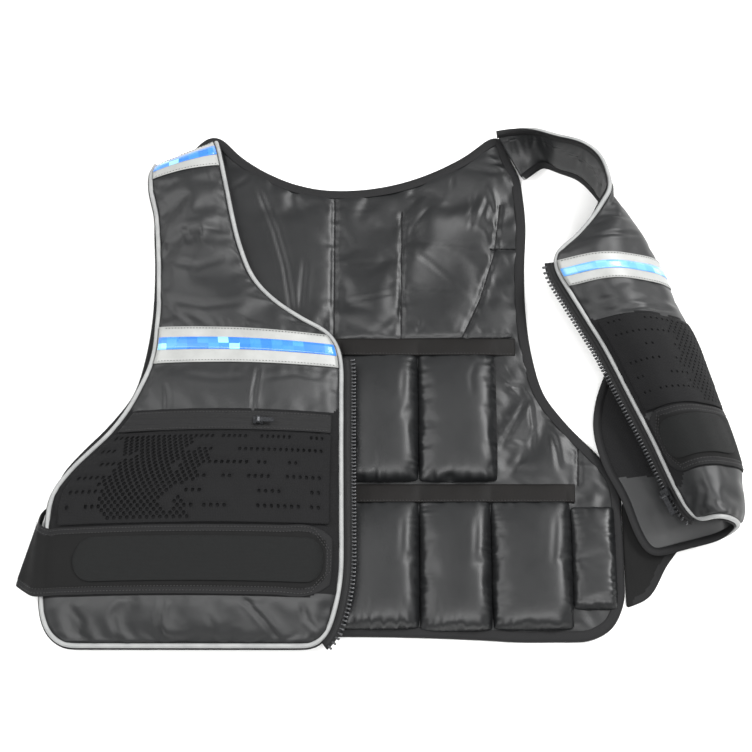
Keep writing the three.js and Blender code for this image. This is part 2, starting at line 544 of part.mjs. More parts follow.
// Trim that both fronts have
function frontTrim(side, face, bottom, facing) {
  const lastRow = face.ups.length - 1;
  const lastColumn = face.acrosses.length - 1;
  const walls = [];
  for (let i = lastRow; i > 0; i--) walls.push(wallOf(face.points, bottom, i, lastColumn));
  for (let j = lastColumn; j >= 0; j--) walls.push(wallOf(face.points, bottom, 0, j));
  for (let i = 1; i <= lastRow; i++) walls.push(wallOf(face.points, bottom, i, 0));
  const places = edgePlaces(walls, facing);
  add(`${side}_piping`, sweep(places, roundProfile(pipingRadius, pipingGap + pipingRadius)), "piping");

  const zipEdge = places.slice(lastRow + lastColumn).filter((_, i) => (
    face.ups[i] >= zipRows[0] && face.ups[i] <= zipRows[1]));
  const tapeStart = pipingGap + 2 * pipingRadius + clearance;
  const tapeEnd = tapeStart + zipTapeWidth;
  const tapeHalf = zipTapeThickness / 2;
  add(`${side}_zip_tape`, sweep(zipEdge, boxProfile(tapeStart, tapeEnd, -tapeHalf, tapeHalf)), "zip");
  const chainLow = tapeHalf + clearance;
  const chain = boxProfile(tapeEnd - zipChainWidth, tapeEnd, chainLow, chainLow + zipChainHeight);
  add(`${side}_zip_chain`, sweep(zipEdge, chain), "zip");
  return { zipEdge, chainMiddle: tapeEnd - zipChainWidth / 2, chainTop: chainLow + zipChainHeight };
}

const wholeWidth = [0, 1];
const insideEdges = [0.03, 0.97];
const stripeLift = clearance * 2 + tapeThickness;
frontTrim("right", rightFace, rightBottom, 1);
const leftZip = frontTrim("left", leftFace, leftBottom, -1);

function tapeAndStripe(name, face, tapeUps, stripeUps) {
  add(name, patch(face, { ups: tapeUps, acrosses: wholeWidth, thickness: tapeThickness }), "tape");
  add(`${name}_stripe`, patch(face, {
    ups: stripeUps, acrosses: wholeWidth, lift: stripeLift, thickness: stripeThickness,
  }), "stripe");
}
tapeAndStripe("right_chest_tape", rightFace, rightTapeRows, rightStripeRows);
tapeAndStripe("right_shoulder_tape", rightFace, shoulderTapeRows, shoulderStripeRows);
tapeAndStripe("left_chest_tape", leftFace, leftTapeRows, leftStripeRows);

add("right_mesh_pocket", patch(rightFace, {
  ups: rightMeshRows, acrosses: insideEdges, thickness: meshThickness,
}), "mesh");
add("right_pocket_zip", patch(rightFace, {
  ups: [rightPocketZipRows[0] + 0.003, rightPocketZipRows[1]], acrosses: insideEdges, thickness: meshThickness,
}), "zip");
add("left_mesh_pocket", patch(leftFace, {
  ups: leftMeshRows, acrosses: [0.03, 0.92], thickness: meshThickness,
}), "mesh");

// Waist straps: a band laid over the front, then led round the side to the back
const strapEndShrink = (across) => Math.min(1, 0.5 + across / 0.12);

function crossPoints(row, count) {
  return Array.from({ length: count }, (_, k) => {
    const share = k / (count - 1);
    return vec(mix(row.lowerX, row.upperX, share), mix(row.lowerY, row.upperY, share),
      mix(row.lowerZ, row.upperZ, share));
  });
}

// A strap over a front between two rows, from near its zip edge, and then through the given wrap rows
function strap(name, face, facing, ups, acrosses, wrap) {
  const rows = linesBetween(face.ups, ...ups);
  const columns = linesBetween(face.acrosses, ...acrosses);
  const middle = (ups[0] + ups[1]) / 2;
  const over = (lift) => rows.map((up) => columns.map((across) => (
    onSurface(face, middle + (up - middle) * strapEndShrink(across), across, lift))));
  const beyond = wrap.map((row) => crossPoints(row, rows.length));
  const centre = over(clearance + strapThickness / 2).map((row, i) => [...row, ...beyond.map((line) => line[i])]);
  const normals = normalsOf(centre, facing);
  const layer = (lift, height) => over(lift).map((row, i) => [...row, ...beyond.map((line, k) => (
    line[i].clone().addScaledVector(normals[i][columns.length + k], height)))]);
  const half = strapThickness / 2;
  add(name, slab(layer(clearance + strapThickness, half), layer(clearance, -half)), "strap");
}

const inLengths = (row, lowerHeight, upperHeight) => ({
  lowerX: row.lowerX * halfWidth, upperX: row.upperX * halfWidth,
  lowerY: row.lowerY * length, upperY: row.upperY * length, lowerZ: lowerHeight, upperZ: upperHeight,
});
const wingHeight = clearance + strapThickness / 2;
const wingStart = 1 + clearance / halfWidth;
strap("right_strap", rightFace, 1, strapRows, [0.02, 1], rightWrap.map((row) => (
  inLengths(row, row.lowerZ * strapFold, row.upperZ * strapFold))));
strap("left_strap", leftFace, -1, leftStrapRows, [0.02, 0.68], [
  ...leftWing, { upperX: wingStart, lowerX: wingStart, ...wingEnd },
].map((row) => inLengths(row, wingHeight, wingHeight)));

const padLift = strapThickness + 2 * clearance;
const inset = (ups, share) => [mix(ups[0], ups[1], share), mix(ups[1], ups[0], share)];
add("right_strap_pad", patch(rightFace, {
  ups: inset(strapRows, 0.18), acrosses: [0.05, 0.9], lift: padLift, thickness: padThickness, roundEnd: 0.08,
}), "strap");
add("left_strap_pad", patch(leftFace, {
  ups: inset(leftStrapRows, 0.18), acrosses: [0.05, 0.42], lift: padLift, thickness: padThickness, roundEnd: 0.2,
}), "strap");

// Joining solids
const wasm = await Module();
wasm.setup();

function solidOf(geometry) {
  const bare = geometry.clone();
  bare.deleteAttribute("normal");
  bare.deleteAttribute("uv");
  const merged = mergeVertices(bare);
  return new wasm.Manifold(new wasm.Mesh({
    numProp: 3,
    vertProperties: merged.getAttribute("position").array,
    triVerts: new Uint32Array(merged.index.array),
  }));
}

function joined(geometries) {
  const whole = geometries.map(solidOf).reduce((sum, solid) => sum.add(solid)).getMesh();
  const geometry = new THREE.BufferGeometry();
  geometry.setAttribute("position", new THREE.BufferAttribute(whole.vertProperties, 3));
  geometry.setIndex(new THREE.BufferAttribute(whole.triVerts, 1));
  return geometry;
}

// A slider with two ears and a pin, and the pull tab that hangs on the pin. X runs along the zip
// towards the pull's free end, and Z away from the cloth.
function slider(name, size, frame) {
  const group = new THREE.Group();
  group.applyMatrix4(frame);
  vest.add(group);
  const knuckle = size.pin + pinClearance + knuckleWall;
  const pinHeight = size.high + clearance + knuckle;
  const earPlace = size.pullWide / 2 + pinClearance + earThickness / 2;
  const plate = new THREE.BoxGeometry(size.long, size.wide, size.high).translate(0, 0, size.high / 2);
  const sink = size.high / 2;
  const earHigh = pinHeight + size.pin + knuckleWall - sink;
  const ears = [-earPlace, earPlace].map((y) => (
    new THREE.BoxGeometry(2 * knuckle, earThickness, earHigh).translate(0, y, sink + earHigh / 2)));
  const pin = new THREE.CylinderGeometry(size.pin, size.pin, 2 * earPlace, 12).translate(0, pinHeight, 0);
  pin.translate(0, -pinHeight, 0).translate(0, 0, pinHeight);
  add(`${name}_slider`, joined([plate, ...ears, pin]), "metal", group);

  const half = size.pullThick / 2;
  const start = Math.asin(half / knuckle);
  const tab = new THREE.Shape();
  tab.absarc(0, 0, knuckle, start, 2 * Math.PI - start, false);
  tab.lineTo(size.pullLong, -half);
  tab.lineTo(size.pullLong, half);
  tab.closePath();
  const eye = new THREE.Path();
  eye.absarc(0, 0, size.pin + pinClearance, 0, 2 * Math.PI, true);
  tab.holes.push(eye);
  const pull = new THREE.ExtrudeGeometry(tab, { depth: size.pullWide, bevelEnabled: false, curveSegments: 12 });
  pull.translate(0, 0, -size.pullWide / 2).rotateX(Math.PI / 2);
  const mesh = add(`${name}_pull`, pull, "metal", group);
  mesh.position.set(0, 0, pinHeight);
}

function frameAt(origin, along, normal) {
  const z = normal.clone().normalize();
  const x = along.clone().addScaledVector(z, -along.dot(z)).normalize();
  const y = z.clone().cross(x);
  return new THREE.Matrix4().makeBasis(x, y, z).setPosition(origin);
}

// Main zip: its slider stands near the hem end of the left front's zip
const sliderStep = 2;
const [beyond, here] = [leftZip.zipEdge[sliderStep - 1], leftZip.zipEdge[sliderStep]];
const chainPlace = (place, lift) => place.point.clone()
  .addScaledVector(place.out, leftZip.chainMiddle).addScaledVector(place.normal, lift);
const mainLift = leftZip.chainTop + clearance;
slider("main_zip", mainSlider, frameAt(
  chainPlace(here, mainLift), chainPlace(beyond, mainLift).sub(chainPlace(here, mainLift)), here.normal));

// Mesh pocket zip
const pocketUp = mix(...rightPocketZipRows, 0.5);
const pocketSliderAcross = 0.36;
const pocketLift = clearance * 2 + meshThickness;
const pocketPoint = (across) => onSurface(rightFace, pocketUp, across, pocketLift);
const pocketNormal = onSurface(rightFace, pocketUp, pocketSliderAcross, pocketLift + 1)
  .sub(pocketPoint(pocketSliderAcross));
slider("pocket_zip", pocketSlider, frameAt(
  pocketPoint(pocketSliderAcross), pocketPoint(pocketSliderAcross - 0.1).sub(pocketPoint(pocketSliderAcross)),
  pocketNormal));

// The origin is under the middle of the vest, on the surface that it lies on
const box = new THREE.Box3().setFromObject(vest, true);
const centre = box.getCenter(vec(0, 0, 0));
vest.position.set(-centre.x, -centre.y, -box.min.z);

export default vest;
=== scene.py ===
import bpy
import bmesh
import math
import numpy as np
from mathutils import Matrix, Vector, noise
from mathutils.bvhtree import BVHTree


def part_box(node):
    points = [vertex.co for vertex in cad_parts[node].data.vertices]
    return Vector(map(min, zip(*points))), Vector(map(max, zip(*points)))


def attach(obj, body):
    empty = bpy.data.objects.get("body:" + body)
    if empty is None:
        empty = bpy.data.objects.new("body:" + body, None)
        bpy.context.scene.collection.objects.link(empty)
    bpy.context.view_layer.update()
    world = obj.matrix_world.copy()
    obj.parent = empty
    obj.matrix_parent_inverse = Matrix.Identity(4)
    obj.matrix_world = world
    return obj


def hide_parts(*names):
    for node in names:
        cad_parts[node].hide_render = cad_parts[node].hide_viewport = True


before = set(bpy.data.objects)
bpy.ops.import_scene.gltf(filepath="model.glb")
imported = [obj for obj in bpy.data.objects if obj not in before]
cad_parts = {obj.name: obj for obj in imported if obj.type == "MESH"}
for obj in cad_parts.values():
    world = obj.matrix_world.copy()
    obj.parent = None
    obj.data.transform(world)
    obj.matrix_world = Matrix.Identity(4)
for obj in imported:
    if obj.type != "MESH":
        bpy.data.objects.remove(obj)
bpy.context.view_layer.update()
mm = 0.001
print("frame loaded")


def linked(name, data):
    made = bpy.data.objects.new(name, data)
    bpy.context.collection.objects.link(made)
    return made


# Camera, which also says where a place in the photograph lies on a piece. Its aim is in metres from the
# middle of the back's hem.
view = {
    "elevation": 70, "distance": 1.7, "lens": 85.67, "sensor": 36, "imageSide": 752, "aim": (0.0352, 0.2527),
}
backLow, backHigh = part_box("back_panel")
target = Vector(((backLow[0] + backHigh[0]) / 2 + view["aim"][0], backLow[1] + view["aim"][1], 0))
tilt = math.radians(90 - view["elevation"])
eye = target + view["distance"] * Vector((0, -math.sin(tilt), math.cos(tilt)))
cameraData = bpy.data.cameras.new("camera")
cameraData.lens = view["lens"]
cameraData.sensor_width = view["sensor"]
cameraData.clip_end = 20
camera = linked("camera", cameraData)
camera.location = eye
camera.rotation_euler = (tilt, 0, 0)
bpy.context.scene.camera = camera


def rayThrough(x, y):
    focal = view["lens"] / view["sensor"] * view["imageSide"]
    middle = view["imageSide"] / 2
    ray = Vector(((x - middle) / focal, (middle - y) / focal, -1))
    return (Matrix.Rotation(tilt, 3, "X") @ ray).normalized()


# Materials
def linear(colour):
    channels = [int(colour[k:k + 2], 16) / 255 for k in (1, 3, 5)]
    return tuple(c / 12.92 if c <= 0.04045 else ((c + 0.055) / 1.055) ** 2.4 for c in channels) + (1,)


def addNode(tree, kind, inputs=None, **settings):
    node = tree.nodes.new(kind)
    for name, value in settings.items():
        setattr(node, name, value)
    for name, value in (inputs or {}).items():
        if isinstance(value, bpy.types.NodeSocket):
            tree.links.new(value, node.inputs[name])
        else:
            node.inputs[name].default_value = value
    return node


def emptyMaterial(name):
    material = bpy.data.materials.new(name)
    material.use_nodes = True
    material.node_tree.nodes.clear()
    return material, material.node_tree


def noiseOf(tree, solid, size, detail=3, rough=0.5):
    return addNode(tree, "ShaderNodeTexNoise", {
        "Vector": solid, "Scale": 1 / (size * mm), "Detail": detail, "Roughness": rough,
    }).outputs["Fac"]


def ranged(tree, value, low, high, start=0, end=1):
    return addNode(tree, "ShaderNodeMapRange", {
        "Value": value, "From Min": low, "From Max": high, "To Min": start, "To Max": end,
    }).outputs["Result"]


def mixed(tree, share, dark, light):
    return addNode(tree, "ShaderNodeMix", {0: share, 6: dark, 7: light}, data_type="RGBA").outputs[2]


# A woven cloth: two colours mottled together, threads as bump, and soft creases finer than the mesh.
# thread, crease and mottle are sizes in mm.
usualCloth = {"thread": 0.9, "turn": 0, "crease": 8, "creases": 0.2, "mottle": 30, "sheen": 0.08}


def clothMaterial(name, look):
    look = {**usualCloth, **look}
    material, tree = emptyMaterial(name)
    place = addNode(tree, "ShaderNodeUVMap", uv_map="cloth").outputs["UV"]
    solid = addNode(tree, "ShaderNodeTexCoord").outputs["Object"]
    turn = (0, 0, math.radians(look["turn"]))
    turned = addNode(tree, "ShaderNodeMapping", {"Vector": place, "Rotation": turn}).outputs["Vector"]
    perMetre = 1 / (look["thread"] * mm)
    waves = [addNode(tree, "ShaderNodeTexWave", {
        "Vector": turned, "Scale": perMetre / 20 * 2 * math.pi, "Distortion": 0.4, "Detail": 1,
    }, bands_direction=way).outputs["Fac"] for way in ("X", "Y")]
    weave = addNode(tree, "ShaderNodeMath", {0: waves[0], 1: waves[1]}, operation="MAXIMUM").outputs[0]
    soft = noiseOf(tree, solid, look["crease"])
    mottle = noiseOf(tree, solid, look["mottle"], 4, 0.6)
    colour = mixed(tree, ranged(tree, mottle, 0.3, 0.7), linear(look["dark"]), linear(look["light"]))
    shine = ranged(tree, mottle, 0.3, 0.7, look["rough"] - 0.05, look["rough"] + 0.05)
    threads = addNode(tree, "ShaderNodeBump", {
        "Height": weave, "Strength": look["weave"], "Distance": look["thread"] * 0.3 * mm,
    })
    creases = addNode(tree, "ShaderNodeBump", {
        "Height": soft, "Strength": look["creases"], "Distance": look["crease"] * 0.1 * mm,
        "Normal": threads.outputs["Normal"],
    })
    shader = addNode(tree, "ShaderNodeBsdfPrincipled", {
        "Base Color": colour, "Roughness": shine, "Normal": creases.outputs["Normal"],
        "Sheen Weight": look["sheen"], "Sheen Roughness": 0.4, "Sheen Tint": linear(look["light"]),
        "Specular IOR Level": look["specular"],
    })
    addNode(tree, "ShaderNodeOutputMaterial", {"Surface": shader.outputs["BSDF"]})
    return material


# Nylon taffeta, calendered on the face: near black, with a broad soft shine. Threads are 0.25 mm in
# the real cloth and drawn at 0.9 mm so that they show close up.
satin = clothMaterial("nylonTaffeta", {
    "dark": "#111213", "light": "#151617", "weave": 0.12, "crease": 12, "creases": 0.17, "mottle": 60,
    "rough": 0.48, "sheen": 0.04, "specular": 0.46,
})
# Thinner nylon lining of the back and its pockets, a little shinier
lining = clothMaterial("nylonLining", {
    "dark": "#0e0f10", "light": "#121314", "thread": 0.8, "weave": 0.1, "crease": 11, "creases": 0.1,
    "mottle": 50, "rough": 0.41, "sheen": 0.03, "specular": 0.42,
})
# Polyester twill tape, woven, dull black
bindingTape = clothMaterial("polyesterTwill", {
    "dark": "#0e0e0f", "light": "#151516", "thread": 1.1, "turn": 45, "weave": 0.6, "crease": 9,
    "creases": 0.3, "mottle": 20, "rough": 0.7, "specular": 0.25,
})
# Piping cord covered in grey reflective cloth
pipingCloth = clothMaterial("reflectivePiping", {
    "dark": "#7c7d7d", "light": "#8f908f", "thread": 0.8, "turn": 45, "weave": 0.3, "creases": 0.3,
    "mottle": 14, "rough": 0.5, "sheen": 0.1, "specular": 0.5,
})
# Retroreflective tape: glass beads on grey cloth, which look silver in flat light
reflectiveTape = clothMaterial("glassBeadTape", {
    "dark": "#898a88", "light": "#9a9b99", "thread": 0.7, "weave": 0.15, "crease": 10, "rough": 0.42,
    "sheen": 0.1, "specular": 0.6,
})
# Elastic covered in dark, slightly brown cloth
bandCloth = clothMaterial("coveredElastic", {
    "dark": "#0c0b0a", "light": "#110f0e", "weave": 0.35, "rough": 0.65, "sheen": 0.02, "specular": 0.2,
})
# Warp knitted polyester mesh, dull and near black
knitMesh = clothMaterial("knittedMesh", {
    "dark": "#0c0c0d", "light": "#131314", "thread": 1.4, "weave": 0.7, "crease": 12, "rough": 0.8,
    "specular": 0.2,
})
# Loop faced strap, brushed nylon, dull
loopStrap = clothMaterial("brushedLoop", {
    "dark": "#0d0d0d", "light": "#141414", "thread": 1.0, "turn": 30, "weave": 0.8, "crease": 7,
    "creases": 0.25, "mottle": 18, "rough": 0.85, "sheen": 0.12, "specular": 0.2,
})
# Hook faced pad, moulded nylon
hookPad = clothMaterial("mouldedHook", {
    "dark": "#0d0e0e", "light": "#121313", "thread": 1.2, "weave": 0.9, "crease": 10, "creases": 0.15,
    "mottle": 40, "rough": 0.75, "sheen": 0.05, "specular": 0.22,
})
# Woven zip tape
zipCloth = clothMaterial("zipTape", {
    "dark": "#0a0a0b", "light": "#111112", "weave": 0.7, "mottle": 16, "rough": 0.65, "sheen": 0.06,
    "specular": 0.3,
})
# Sewing thread, bonded polyester
thread = clothMaterial("sewingThread", {
    "dark": "#1a1919", "light": "#232222", "thread": 0.6, "turn": 20, "weave": 0.4, "crease": 6,
    "creases": 0.1, "mottle": 10, "rough": 0.5, "sheen": 0.1, "specular": 0.5,
})


# A hard material: one colour, slightly uneven, with fine scratches or mould grain
def hardMaterial(name, look):
    material, tree = emptyMaterial(name)
    solid = addNode(tree, "ShaderNodeTexCoord").outputs["Object"]
    grain = noiseOf(tree, solid, look["grain"])
    colour = mixed(tree, grain, linear(look["dark"]), linear(look["light"]))
    shine = ranged(tree, grain, 0.3, 0.7, look["rough"] - 0.06, look["rough"] + 0.06)
    bump = addNode(tree, "ShaderNodeBump", {"Height": grain, "Strength": 0.2, "Distance": 0.1 * mm})
    shader = addNode(tree, "ShaderNodeBsdfPrincipled", {
        "Base Color": colour, "Roughness": shine, "Metallic": look["metallic"],
        "Normal": bump.outputs["Normal"], "Coat Weight": look["coat"], "Coat Roughness": 0.08,
    })
    addNode(tree, "ShaderNodeOutputMaterial", {"Surface": shader.outputs["BSDF"]})
    return material


# Acetal zip teeth, injection moulded, with a dull gloss
acetal = hardMaterial("mouldedAcetal", {
    "dark": "#202123", "light": "#2c2d2f", "grain": 1.5, "rough": 0.32, "metallic": 0, "coat": 0.2,
})
# Zinc alloy sliders, painted dark over the casting
zinc = hardMaterial("paintedZinc", {
    "dark": "#2a2b2d", "light": "#47484b", "grain": 2, "rough": 0.28, "metallic": 0.8, "coat": 0.3,
})


# Prismatic film: a clear glossy face over blue, welded into square cells that turn light or dark; the
# brightest cells are painted pale, a painted highlight
def prismMaterial(name, look):
    material = hardMaterial(name, look)
    tree = material.node_tree
    shader = next(node for node in tree.nodes if node.type == "BSDF_PRINCIPLED")
    place = addNode(tree, "ShaderNodeUVMap", uv_map="cloth").outputs["UV"]
    cells = addNode(tree, "ShaderNodeTexVoronoi", {
        "Vector": place, "Scale": 1 / (look["cell"] * mm), "Randomness": 0.15,
    }, distance="CHEBYCHEV")
    shade = ranged(tree, cells.outputs["Color"], 0.35, 0.75)
    blue = mixed(tree, shade, linear(look["dark"]), linear(look["light"]))
    # painted highlight: the brightest cells take the pale glint colour
    glint = ranged(tree, cells.outputs["Color"], 0.84, 0.88)
    tree.links.new(mixed(tree, glint, blue, linear(look["glint"])), shader.inputs["Base Color"])
    return material


# glint is the colour of the painted highlight on the brightest cells
bluePrism = prismMaterial("prismaticFilm", {
    "dark": "#2a6cc8", "light": "#3f86dc", "glint": "#86c8ee", "grain": 9, "cell": 10, "rough": 0.3,
    "metallic": 0, "coat": 0.35,
})
paleBluePrism = prismMaterial("paleFilm", {
    "dark": "#5b97dc", "light": "#74abe8", "glint": "#8fc4f0", "grain": 9, "cell": 10, "rough": 0.3,
    "metallic": 0, "coat": 0.35,
})
print("materials made")


# The two sides of a CAD slab as grids of points. sharp is the angle that ends a side.
def sidesOf(nodeName, sharp, ask=1):
    bm = bmesh.new()
    bm.from_mesh(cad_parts[nodeName].data)
    bmesh.ops.remove_doubles(bm, verts=bm.verts, dist=0.02 * mm)
    bm.normal_update()
    rims = {edge for edge in bm.edges if edge.calc_face_angle(0) > math.radians(sharp)}
    seen, regions = set(), []
    for first in bm.faces:
        if first in seen:
            continue
        region, waiting = [], [first]
        seen.add(first)
        while waiting:
            face = waiting.pop()
            region.append(face)
            for edge in face.edges:
                for other in edge.link_faces if edge not in rims else ():
                    if other not in seen:
                        seen.add(other)
                        waiting.append(other)
        regions.append(region)
    regions.sort(key=lambda faces: -sum(face.calc_area() for face in faces))
    grids = []
    for region in regions[:4]:
        grid = gridOfRegion(region, rims)
        if grid is not None and len(grids) < ask:
            grids.append(grid)
    bm.free()
    if len(grids) < ask:
        raise ValueError(f"{nodeName} has {len(grids)} sides")
    return grids


# Every cell of a slab has its diagonal the same way, so a neighbour's new corner is p + q - r
def gridOfRegion(region, rims):
    inside = set(region)
    start = min(region, key=lambda face: min(abs(math.cos(loop.calc_angle())) for loop in face.loops))
    for corner in sorted(start.loops, key=lambda loop: abs(math.cos(loop.calc_angle()))):
        place = {corner.link_loop_prev.vert: (0, 0), corner.vert: (1, 0), corner.link_loop_next.vert: (1, 1)}
        waiting, done = [start], {start}
        while waiting:
            face = waiting.pop(0)
            for edge in face.edges:
                for other in edge.link_faces if edge not in rims else ():
                    if other in done or other not in inside:
                        continue
                    done.add(other)
                    new = next(vert for vert in other.verts if vert not in edge.verts)
                    old = next(vert for vert in face.verts if vert not in edge.verts)
                    p, q = edge.verts
                    place.setdefault(new, tuple(place[p][k] + place[q][k] - place[old][k] for k in (0, 1)))
                    waiting.append(other)
        spots = np.array(list(place.values()))
        low, high = spots.min(axis=0), spots.max(axis=0)
        size = high - low + 1
        if size[0] * size[1] == len(place) and size.min() > 1:
            grid = np.zeros((size[0], size[1], 3))
            for vert, (i, j) in place.items():
                grid[i - low[0], j - low[1]] = vert.co
            return grid
    return None


# Rows run up the garment and columns start at the given end
def laidOut(grid, start):
    acrossY = abs((grid[:, -1] - grid[:, 0])[:, 1].mean())
    downY = abs((grid[-1] - grid[0])[:, 1].mean())
    if acrossY > downY:
        grid = grid.transpose(1, 0, 2)
    if (grid[-1] - grid[0])[:, 1].mean() < 0:
        grid = grid[::-1]
    axis, sign = "xyz".index(start[0]), 1 if start[1] == "+" else -1
    if sign * (grid[:, 0] - grid[:, -1])[:, axis].mean() < 0:
        grid = grid[:, ::-1]
    return grid


def lengthsAlong(points):
    steps = np.linalg.norm(np.diff(points, axis=0), axis=-1)
    while steps.ndim > 1:
        steps = steps.mean(axis=-1)
    return np.concatenate([[0], np.cumsum(steps)])


# A smooth line through the values at the knots
def through(knots, values, where):
    shape = (-1,) + (1,) * (values.ndim - 1)
    steps = np.diff(knots)
    steep = np.diff(values, axis=0) / steps.reshape(shape)
    slope = np.concatenate([steep[:1], steep])
    weight = (steps[1:] / (steps[1:] + steps[:-1])).reshape(shape)
    slope[1:-1] = steep[:-1] * weight + steep[1:] * (1 - weight)
    slope[-1] = steep[-1]
    i = np.clip(np.searchsorted(knots, where, side="right") - 1, 0, len(knots) - 2)
    span = steps[i].reshape(shape)
    t = ((where - knots[i]) / steps[i]).reshape(shape)
    return (values[i] * (1 + 2 * t) * (1 - t) ** 2 + values[i + 1] * t * t * (3 - 2 * t)
            + span * (slope[i] * t * (1 - t) ** 2 - slope[i + 1] * t * t * (1 - t)))


# A surface: its grid of points with their true lengths up and across
def surfaceOf(grid):
    return {"points": grid, "up": lengthsAlong(grid), "across": lengthsAlong(grid.transpose(1, 0, 2))}


def gridAt(surface, ups, acrosses):
    rows = through(surface["up"], surface["points"], np.asarray(ups) * surface["up"][-1])
    wheres = np.asarray(acrosses) * surface["across"][-1]
    return through(surface["across"], rows.transpose(1, 0, 2), wheres).transpose(1, 0, 2)


def unit(vectors):
    return vectors / np.linalg.norm(vectors, axis=-1, keepdims=True)


def normalsOf(points, facing):
    return unit(np.cross(np.gradient(points, axis=0), np.gradient(points, axis=1)) * facing)


# A surface raised by lift along its normals, with more points
def raised(surface, facing, lift, rows, columns, ups=(0, 1), acrosses=(0, 1)):
    points = gridAt(surface, np.linspace(*ups, rows + 1), np.linspace(*acrosses, columns + 1))
    return points + normalsOf(points, facing) * lift


# Values at other places along a line, given how far along it each of its points is
def valuesAt(where, length, values):
    return np.stack([np.interp(where, length, column) for column in values.T], axis=-1)


def smoothed(line, times):
    for _ in range(times):
        line[1:-1] = line[1:-1] / 2 + (line[:-2] + line[2:]) / 4
    return line


# The ways along, up and out at each point of a line that lies flat
def flatPlaces(line, along):
    along, up = unit(along), np.tile([0.0, 0.0, 1.0], (len(line), 1))
    return {"middle": line, "along": along, "up": up, "out": np.cross(along, up)}


def newObject(name, bm, material):
    mesh = bpy.data.meshes.new(name)
    bm.to_mesh(mesh)
    bm.free()
    mesh.shade_smooth()
    piece = linked(name, mesh)
    for one in material if isinstance(material, list) else [material]:
        mesh.materials.append(one)
    return piece


def settled(piece):
    graph = bpy.context.evaluated_depsgraph_get()
    mesh = bpy.data.meshes.new_from_object(
        piece.evaluated_get(graph), preserve_all_data_layers=True, depsgraph=graph)
    piece.modifiers.clear()
    piece.data = mesh
    return piece


def subdivided(piece, levels=1):
    finer = piece.modifiers.new("finer", "SUBSURF")
    finer.levels = finer.render_levels = levels
    return settled(piece)


def dressed(piece, slotName, *nodes, body="vest"):
    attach(piece, body)
    if nodes:
        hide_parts(*nodes)


# A closed slab between two grids of points of the same size, with its walls rounded outwards
def slabPiece(name, top, under, material, rounding=0.8 * mm, wallSteps=2):
    rows, columns = top.shape[0] - 1, top.shape[1] - 1
    bm = bmesh.new()
    cloth = bm.loops.layers.uv.new("cloth")
    across, up, upper = [bm.verts.layers.float.new(key) for key in ("across", "up", "upper")]
    made = bmesh.ops.create_grid(bm, x_segments=columns, y_segments=rows, size=0.5)
    for vert in made["verts"]:
        vert[across], vert[up], vert[upper] = vert.co.x + 0.5, vert.co.y + 0.5, 1
    twin = bmesh.ops.duplicate(bm, geom=bm.faces[:])["geom"]
    for item in twin:
        if isinstance(item, bmesh.types.BMVert):
            item.co.z, item[upper] = -0.1, 0
    bmesh.ops.reverse_faces(bm, faces=[item for item in twin if isinstance(item, bmesh.types.BMFace)])
    bmesh.ops.bridge_loops(bm, edges=[edge for edge in bm.edges if edge.is_boundary])
    posts = [edge for edge in bm.edges if abs(edge.verts[0][upper] - edge.verts[1][upper]) > 0.5]
    if wallSteps:
        bmesh.ops.subdivide_edges(bm, edges=posts, cuts=wallSteps)
    lengthAcross, lengthUp = [
        np.insert(np.cumsum(np.linalg.norm(np.diff(top, axis=axis), axis=2), axis=axis), 0, 0, axis=axis)
        for axis in (1, 0)]
    lengthAcross -= lengthAcross[:, columns // 2:columns // 2 + 1]
    for vert in bm.verts:
        i, j, share = round(vert[up] * rows), round(vert[across] * columns), vert[upper]
        point = top[i, j] * share + under[i, j] * (1 - share)
        if 0.01 < share < 0.99:
            inner = top[min(max(i, 1), rows - 1), min(max(j, 1), columns - 1)]
            out = top[i, j] - inner
            out /= max(np.linalg.norm(out), 1e-9)
            point = point + out * rounding * math.sin(math.pi * share)
        vert.co = point
    for face in bm.faces:
        for loop in face.loops:
            i, j = round(loop.vert[up] * rows), round(loop.vert[across] * columns)
            loop[cloth].uv = (lengthAcross[i, j], lengthUp[i, j])
    bmesh.ops.recalc_face_normals(bm, faces=bm.faces)
    return newObject(name, bm, material)


def coordsOf(mesh, kind="co"):
    values = np.empty(len(mesh.vertices) * 3)
    mesh.vertices.foreach_get(kind, values)
    return values.reshape(-1, 3)


def putCoords(mesh, points):
    mesh.vertices.foreach_set("co", points.ravel())
    mesh.update()


def shares(mesh, name):
    values = np.empty(len(mesh.vertices))
    mesh.attributes[name].data.foreach_get("value", values)
    return values


def partsOf(mesh):
    return coordsOf(mesh), coordsOf(mesh, "normal"), shares(mesh, "upper")


def bumpsAt(points, scale):
    return np.array([noise.noise(Vector(p) * scale) for p in points])


# Distance from each point to the nearest spot. farAway, in metres, is more than any real distance.
farAway = 9.0


def nearestGap(points, spots):
    gap = np.full(len(points), farAway)
    if len(spots):
        for chunk in np.array_split(np.arange(len(points)), 1 + len(points) // 1000):
            squares = ((points[chunk, None, :] - spots[None, :, :]) ** 2).sum(axis=2)
            gap[chunk] = np.sqrt(squares.min(axis=1))
    return gap


def treeOf(*pieces):
    verts, faces = [], []
    for piece in pieces:
        start = len(verts)
        verts += [vert.co.copy() for vert in piece.data.vertices]
        faces += [[start + k for k in face.vertices] for face in piece.data.polygons]
    return BVHTree.FromPolygons(verts, faces)


# Distance of points from a line, and how far along it the nearest place is, both in metres
def nearLine(points, line):
    best, along, total = np.full(len(points), farAway), np.zeros(len(points)), 0
    for a, b in zip(line[:-1], line[1:]):
        step = b - a
        size = np.linalg.norm(step)
        t = np.clip((points - a) @ step / (size * size), 0, 1)
        gap = np.linalg.norm(points - a - t[:, None] * step, axis=1)
        closer = gap < best
        best[closer], along[closer] = gap[closer], total + t[closer] * size
        total += size
    return best, along, total


